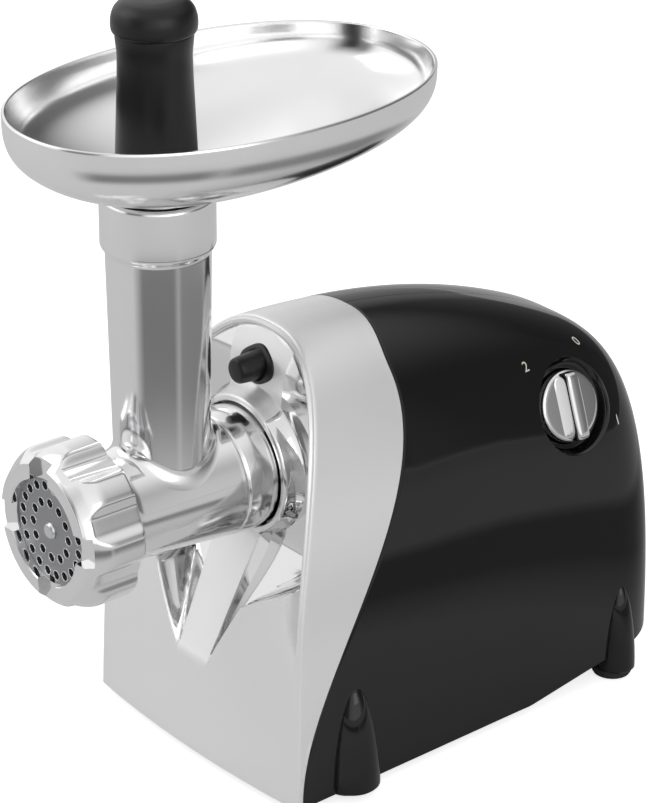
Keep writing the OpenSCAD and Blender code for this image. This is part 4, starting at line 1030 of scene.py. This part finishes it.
finishes = {
    "chromed_plastic": platedPlastic("platedPlastic"),
    "cast_aluminium": metal("polishedCasting", (0.84, 0.84, 0.845), 0.13, 0.05, grain=(40, 40, 1200),
                            grainDepth=0.0000015),
    "satin_tray": metal("drawnTray", (0.88, 0.88, 0.88), 0.17, 0.06),
    "die_cast": metal("dieCast", (0.55, 0.56, 0.58), 0.45, 0.1),
    "zinc_steel": metal("zincPlate", (0.6, 0.61, 0.63), 0.35, 0.1),
    "pressed_steel": metal("pressedSheet", (0.58, 0.59, 0.6), 0.38, 0.1),
    "ground_steel": metal("groundSteel", (0.66, 0.67, 0.68), 0.28, 0.1),
    "spring_steel": metal("springWire", (0.62, 0.63, 0.65), 0.25, 0.08),
    "stainless": metal("knifeSteel", (0.7, 0.71, 0.72), 0.24, 0.08),
    "plate_steel": metal("plateSteel", (0.34, 0.34, 0.35), 0.42, 0.12),
    "lamination_steel": metal("laminations", (0.35, 0.35, 0.37), 0.5, 0.1, grain=(1, 2500, 1)),
    "bronze": metal("sinteredBronze", (0.55, 0.38, 0.2), 0.45, 0.1),
    "brass_sheet": metal("brassSheet", (0.72, 0.56, 0.28), 0.35, 0.1),
    "copper_wire": metal("windingWire", (0.6, 0.25, 0.1), 0.4, 0.1, grain=(900, 20, 900)),
    "copper_bar": metal("commutatorCopper", (0.7, 0.38, 0.2), 0.3, 0.1),
    "black_gloss": plastic("pianoBlack", (0.004, 0.004, 0.0045), 0.06, 0.02, specular=0.5),
    "black_satin": plastic("satinBlack", (0.008, 0.008, 0.0085), 0.36, 0.06, specular=0.35),
    "black_matt": plastic("mattBlack", (0.02, 0.02, 0.022), 0.55, 0.08, pebble=0.00003),
    "black_rubber": plastic("footRubber", (0.015, 0.015, 0.015), 0.7, 0.08, pebble=0.00004),
    "white_plastic": plastic("naturalAcetal", (0.72, 0.7, 0.62), 0.4, 0.06),
    "carbon": plastic("pressedCarbon", (0.03, 0.03, 0.033), 0.6, 0.1, pebble=0.00002),
}
slotOf = {part["node"]: part["material_slot"] for part in frame["record"]["subparts"]}
for name, thing in nodes.items():
    thing.data.materials.clear()
    thing.data.materials.append(finishes[slotOf[name]])
print("finishes:", len(finishes))

makeShells()
makeDish()
makeKnob()
makeMask()
makeLockSurround()
makeLockButton()
makeSpring()
makeHead()
makeNut()
makeRims()
makeTray()
makePusher()
makeLegends()
print("pieces made")


studio = {"floorSize": 6.0, "floorLevel": -0.0005, "floorColour": 0.8, "floorGlow": 0.75, "worldFill": 0.62,
          "overhead": 0.95, "overheadFrom": (0.42, 0.9), "below": 0.75, "belowFrom": (0.0, -0.02),
          # painted reflection: a dark stretch of the floor that only mirror rays see, with its level, near
          # edge, far edge and bearings
          "paintedReflectionLevel": 0.18, "paintedReflectionStart": (0.3, 0.4), "paintedReflectionEnd": (0.62, 0.54),
          "paintedReflectionBearings": ((-180, 0.5), (-150, 0.0), (-4, 0.0), (18, 1.0), (86, 1.0), (96, 0.5), (104, 0.9),
                        (160, 0.9), (180, 0.5)),
          "round": ((-180, 0.1), (-140, 0.14), (-122, 1.05), (-16, 1.05), (-6, 0.22), (20, 0.25), (34, 0.95),
                    (60, 1.25), (100, 1.2), (118, 0.5), (132, 0.2), (180, 0.12))}
lamps = {"key": {"spot": (-1.3, -1.2, 1.7), "aim": (0, 0, 0.2), "size": (1.6, 1.6), "power": 9},
         "fill": {"spot": (2.1, -0.3, 1.2), "aim": (0, 0, 0.15), "size": (1.6, 1.2), "power": 6}}


def levelRound(finish, x, y, levels):  # a level for each bearing, in degrees from the front
    bearing = x.calc("ARCTAN2", y * -1.0) * (0.5 / math.pi) + 0.5
    stops = [((angle + 180) / 360, grey(level)) for angle, level in levels]
    shades = finish.node("ShaderNodeValToRGB", {"stops": stops}, {0: bearing})[0]
    return finish.node("ShaderNodeSeparateColor", {}, {0: shades})[0]


def makeFloor():  # pale, with a painted dark stretch that only mirror reflections show, which paints dark reflections into the metal
    size, z = studio["floorSize"], studio["floorLevel"]
    mesh = bpy.data.meshes.new("floor")
    corners = [(-size, -size, z), (size, -size, z), (size, size, z), (-size, size, z)]
    mesh.from_pydata(corners, [], [(0, 1, 2, 3)])
    floor = bpy.data.objects.new("floor", mesh)
    bpy.context.scene.collection.objects.link(floor)
    finish = Finish("paleFloor")
    camera, mirror, _ = rays(finish)
    x, y, _ = finish.node("ShaderNodeSeparateXYZ", {}, {0: objectPlace(finish)})
    y = y - tubeY
    away = (x * x + y * y) ** 0.5
    # painted reflection: the floor darkens by bearing and distance for mirror rays only, so the metal shows
    # painted dark reflections
    dark = (levelRound(finish, x, y, studio["paintedReflectionBearings"]) * rising(finish, away, *studio["paintedReflectionStart"])
            * rising(finish, away, *studio["paintedReflectionEnd"]))
    matt = finish.node("ShaderNodeBsdfDiffuse", {}, {"Color": grey(studio["floorColour"])})[0]
    seen = camera * studio["floorGlow"]
    glow = finish.node("ShaderNodeEmission", {}, {"Color": grey(1.0), "Strength": seen})[0]
    lit = finish.node("ShaderNodeAddShader", {}, {0: matt, 1: glow})[0]
    shade = finish.node("ShaderNodeEmission", {}, {"Color": grey(1.0), "Strength": studio["paintedReflectionLevel"]})[0]
    mixed = finish.node("ShaderNodeMixShader", {}, {0: mirror * dark, 1: lit, 2: shade})[0]
    mesh.materials.append(finish.close(mixed))


def makeWorld():  # white for the camera, and panels and gaps round the table for the reflections
    world = bpy.data.worlds.new("studio")
    bpy.context.scene.world = world
    world.use_nodes = True
    finish = Finish("studio", world.node_tree)
    camera, mirror, clear = rays(finish)
    direction = finish.node("ShaderNodeTexCoord")[0]
    x, y, z = finish.node("ShaderNodeSeparateXYZ", {}, {0: direction})
    level = levelRound(finish, x, y, studio["round"])
    start, end = studio["overheadFrom"]
    up = finish.node("ShaderNodeMapRange", {"interpolation_type": "SMOOTHSTEP"}, {0: z, 1: start, 2: end})[0]
    down = rising(finish, z, *studio["belowFrom"])
    level = level * (1 - up) + up * studio["overhead"]
    level = level * (1 - down) + down * studio["below"]
    mirrored = mirror.calc("MAXIMUM", clear)
    strength = mirrored * level + (1 - mirrored) * studio["worldFill"]
    strength = camera + (1 - camera) * strength
    finish.close(finish.node("ShaderNodeBackground", {}, {"Color": grey(1.0), "Strength": strength})[0])


def makeLamp(name, spot, aim, size, power):
    light = bpy.data.lights.new(name, "AREA")
    light.shape = "RECTANGLE"
    light.size, light.size_y = size
    light.energy = power
    lamp = bpy.data.objects.new(name, light)
    bpy.context.scene.collection.objects.link(lamp)
    lamp.location = spot
    lamp.rotation_euler = (Vector(aim) - Vector(spot)).to_track_quat("-Z", "Y").to_euler()


view = {"azimuth": 50.09, "elevation": 24.026, "roll": 0.401, "focal": 147.83, "sensor": 36, "farthest": 20,
        "spot": (1.1043, -0.812684, 0.837726), "shift": (-0.02825, -0.08475)}


def makeCamera():
    azimuth, elevation, roll = (math.radians(view[k]) for k in ("azimuth", "elevation", "roll"))
    back = Vector((math.sin(azimuth) * math.cos(elevation), -math.cos(azimuth) * math.cos(elevation),
                   math.sin(elevation)))
    across = Vector((math.cos(azimuth), math.sin(azimuth), 0))
    up = back.cross(across)
    right = math.cos(roll) * across + math.sin(roll) * up
    top = -math.sin(roll) * across + math.cos(roll) * up
    data = bpy.data.cameras.new("camera")
    data.lens = view["focal"]
    data.sensor_width = view["sensor"]
    data.shift_x, data.shift_y = view["shift"]
    data.clip_end = view["farthest"]
    camera = bpy.data.objects.new("camera", data)
    bpy.context.scene.collection.objects.link(camera)
    turn = Matrix((right, top, back)).transposed()
    camera.matrix_world = Matrix.Translation(Vector(view["spot"]) + Vector((0, tubeY, 0))) @ turn.to_4x4()
    bpy.context.scene.camera = camera


makeFloor()
makeWorld()
for lampName, settings in lamps.items():
    makeLamp(lampName, **settings)
makeCamera()
bpy.context.scene.view_settings.view_transform = "Standard"
print("studio made")
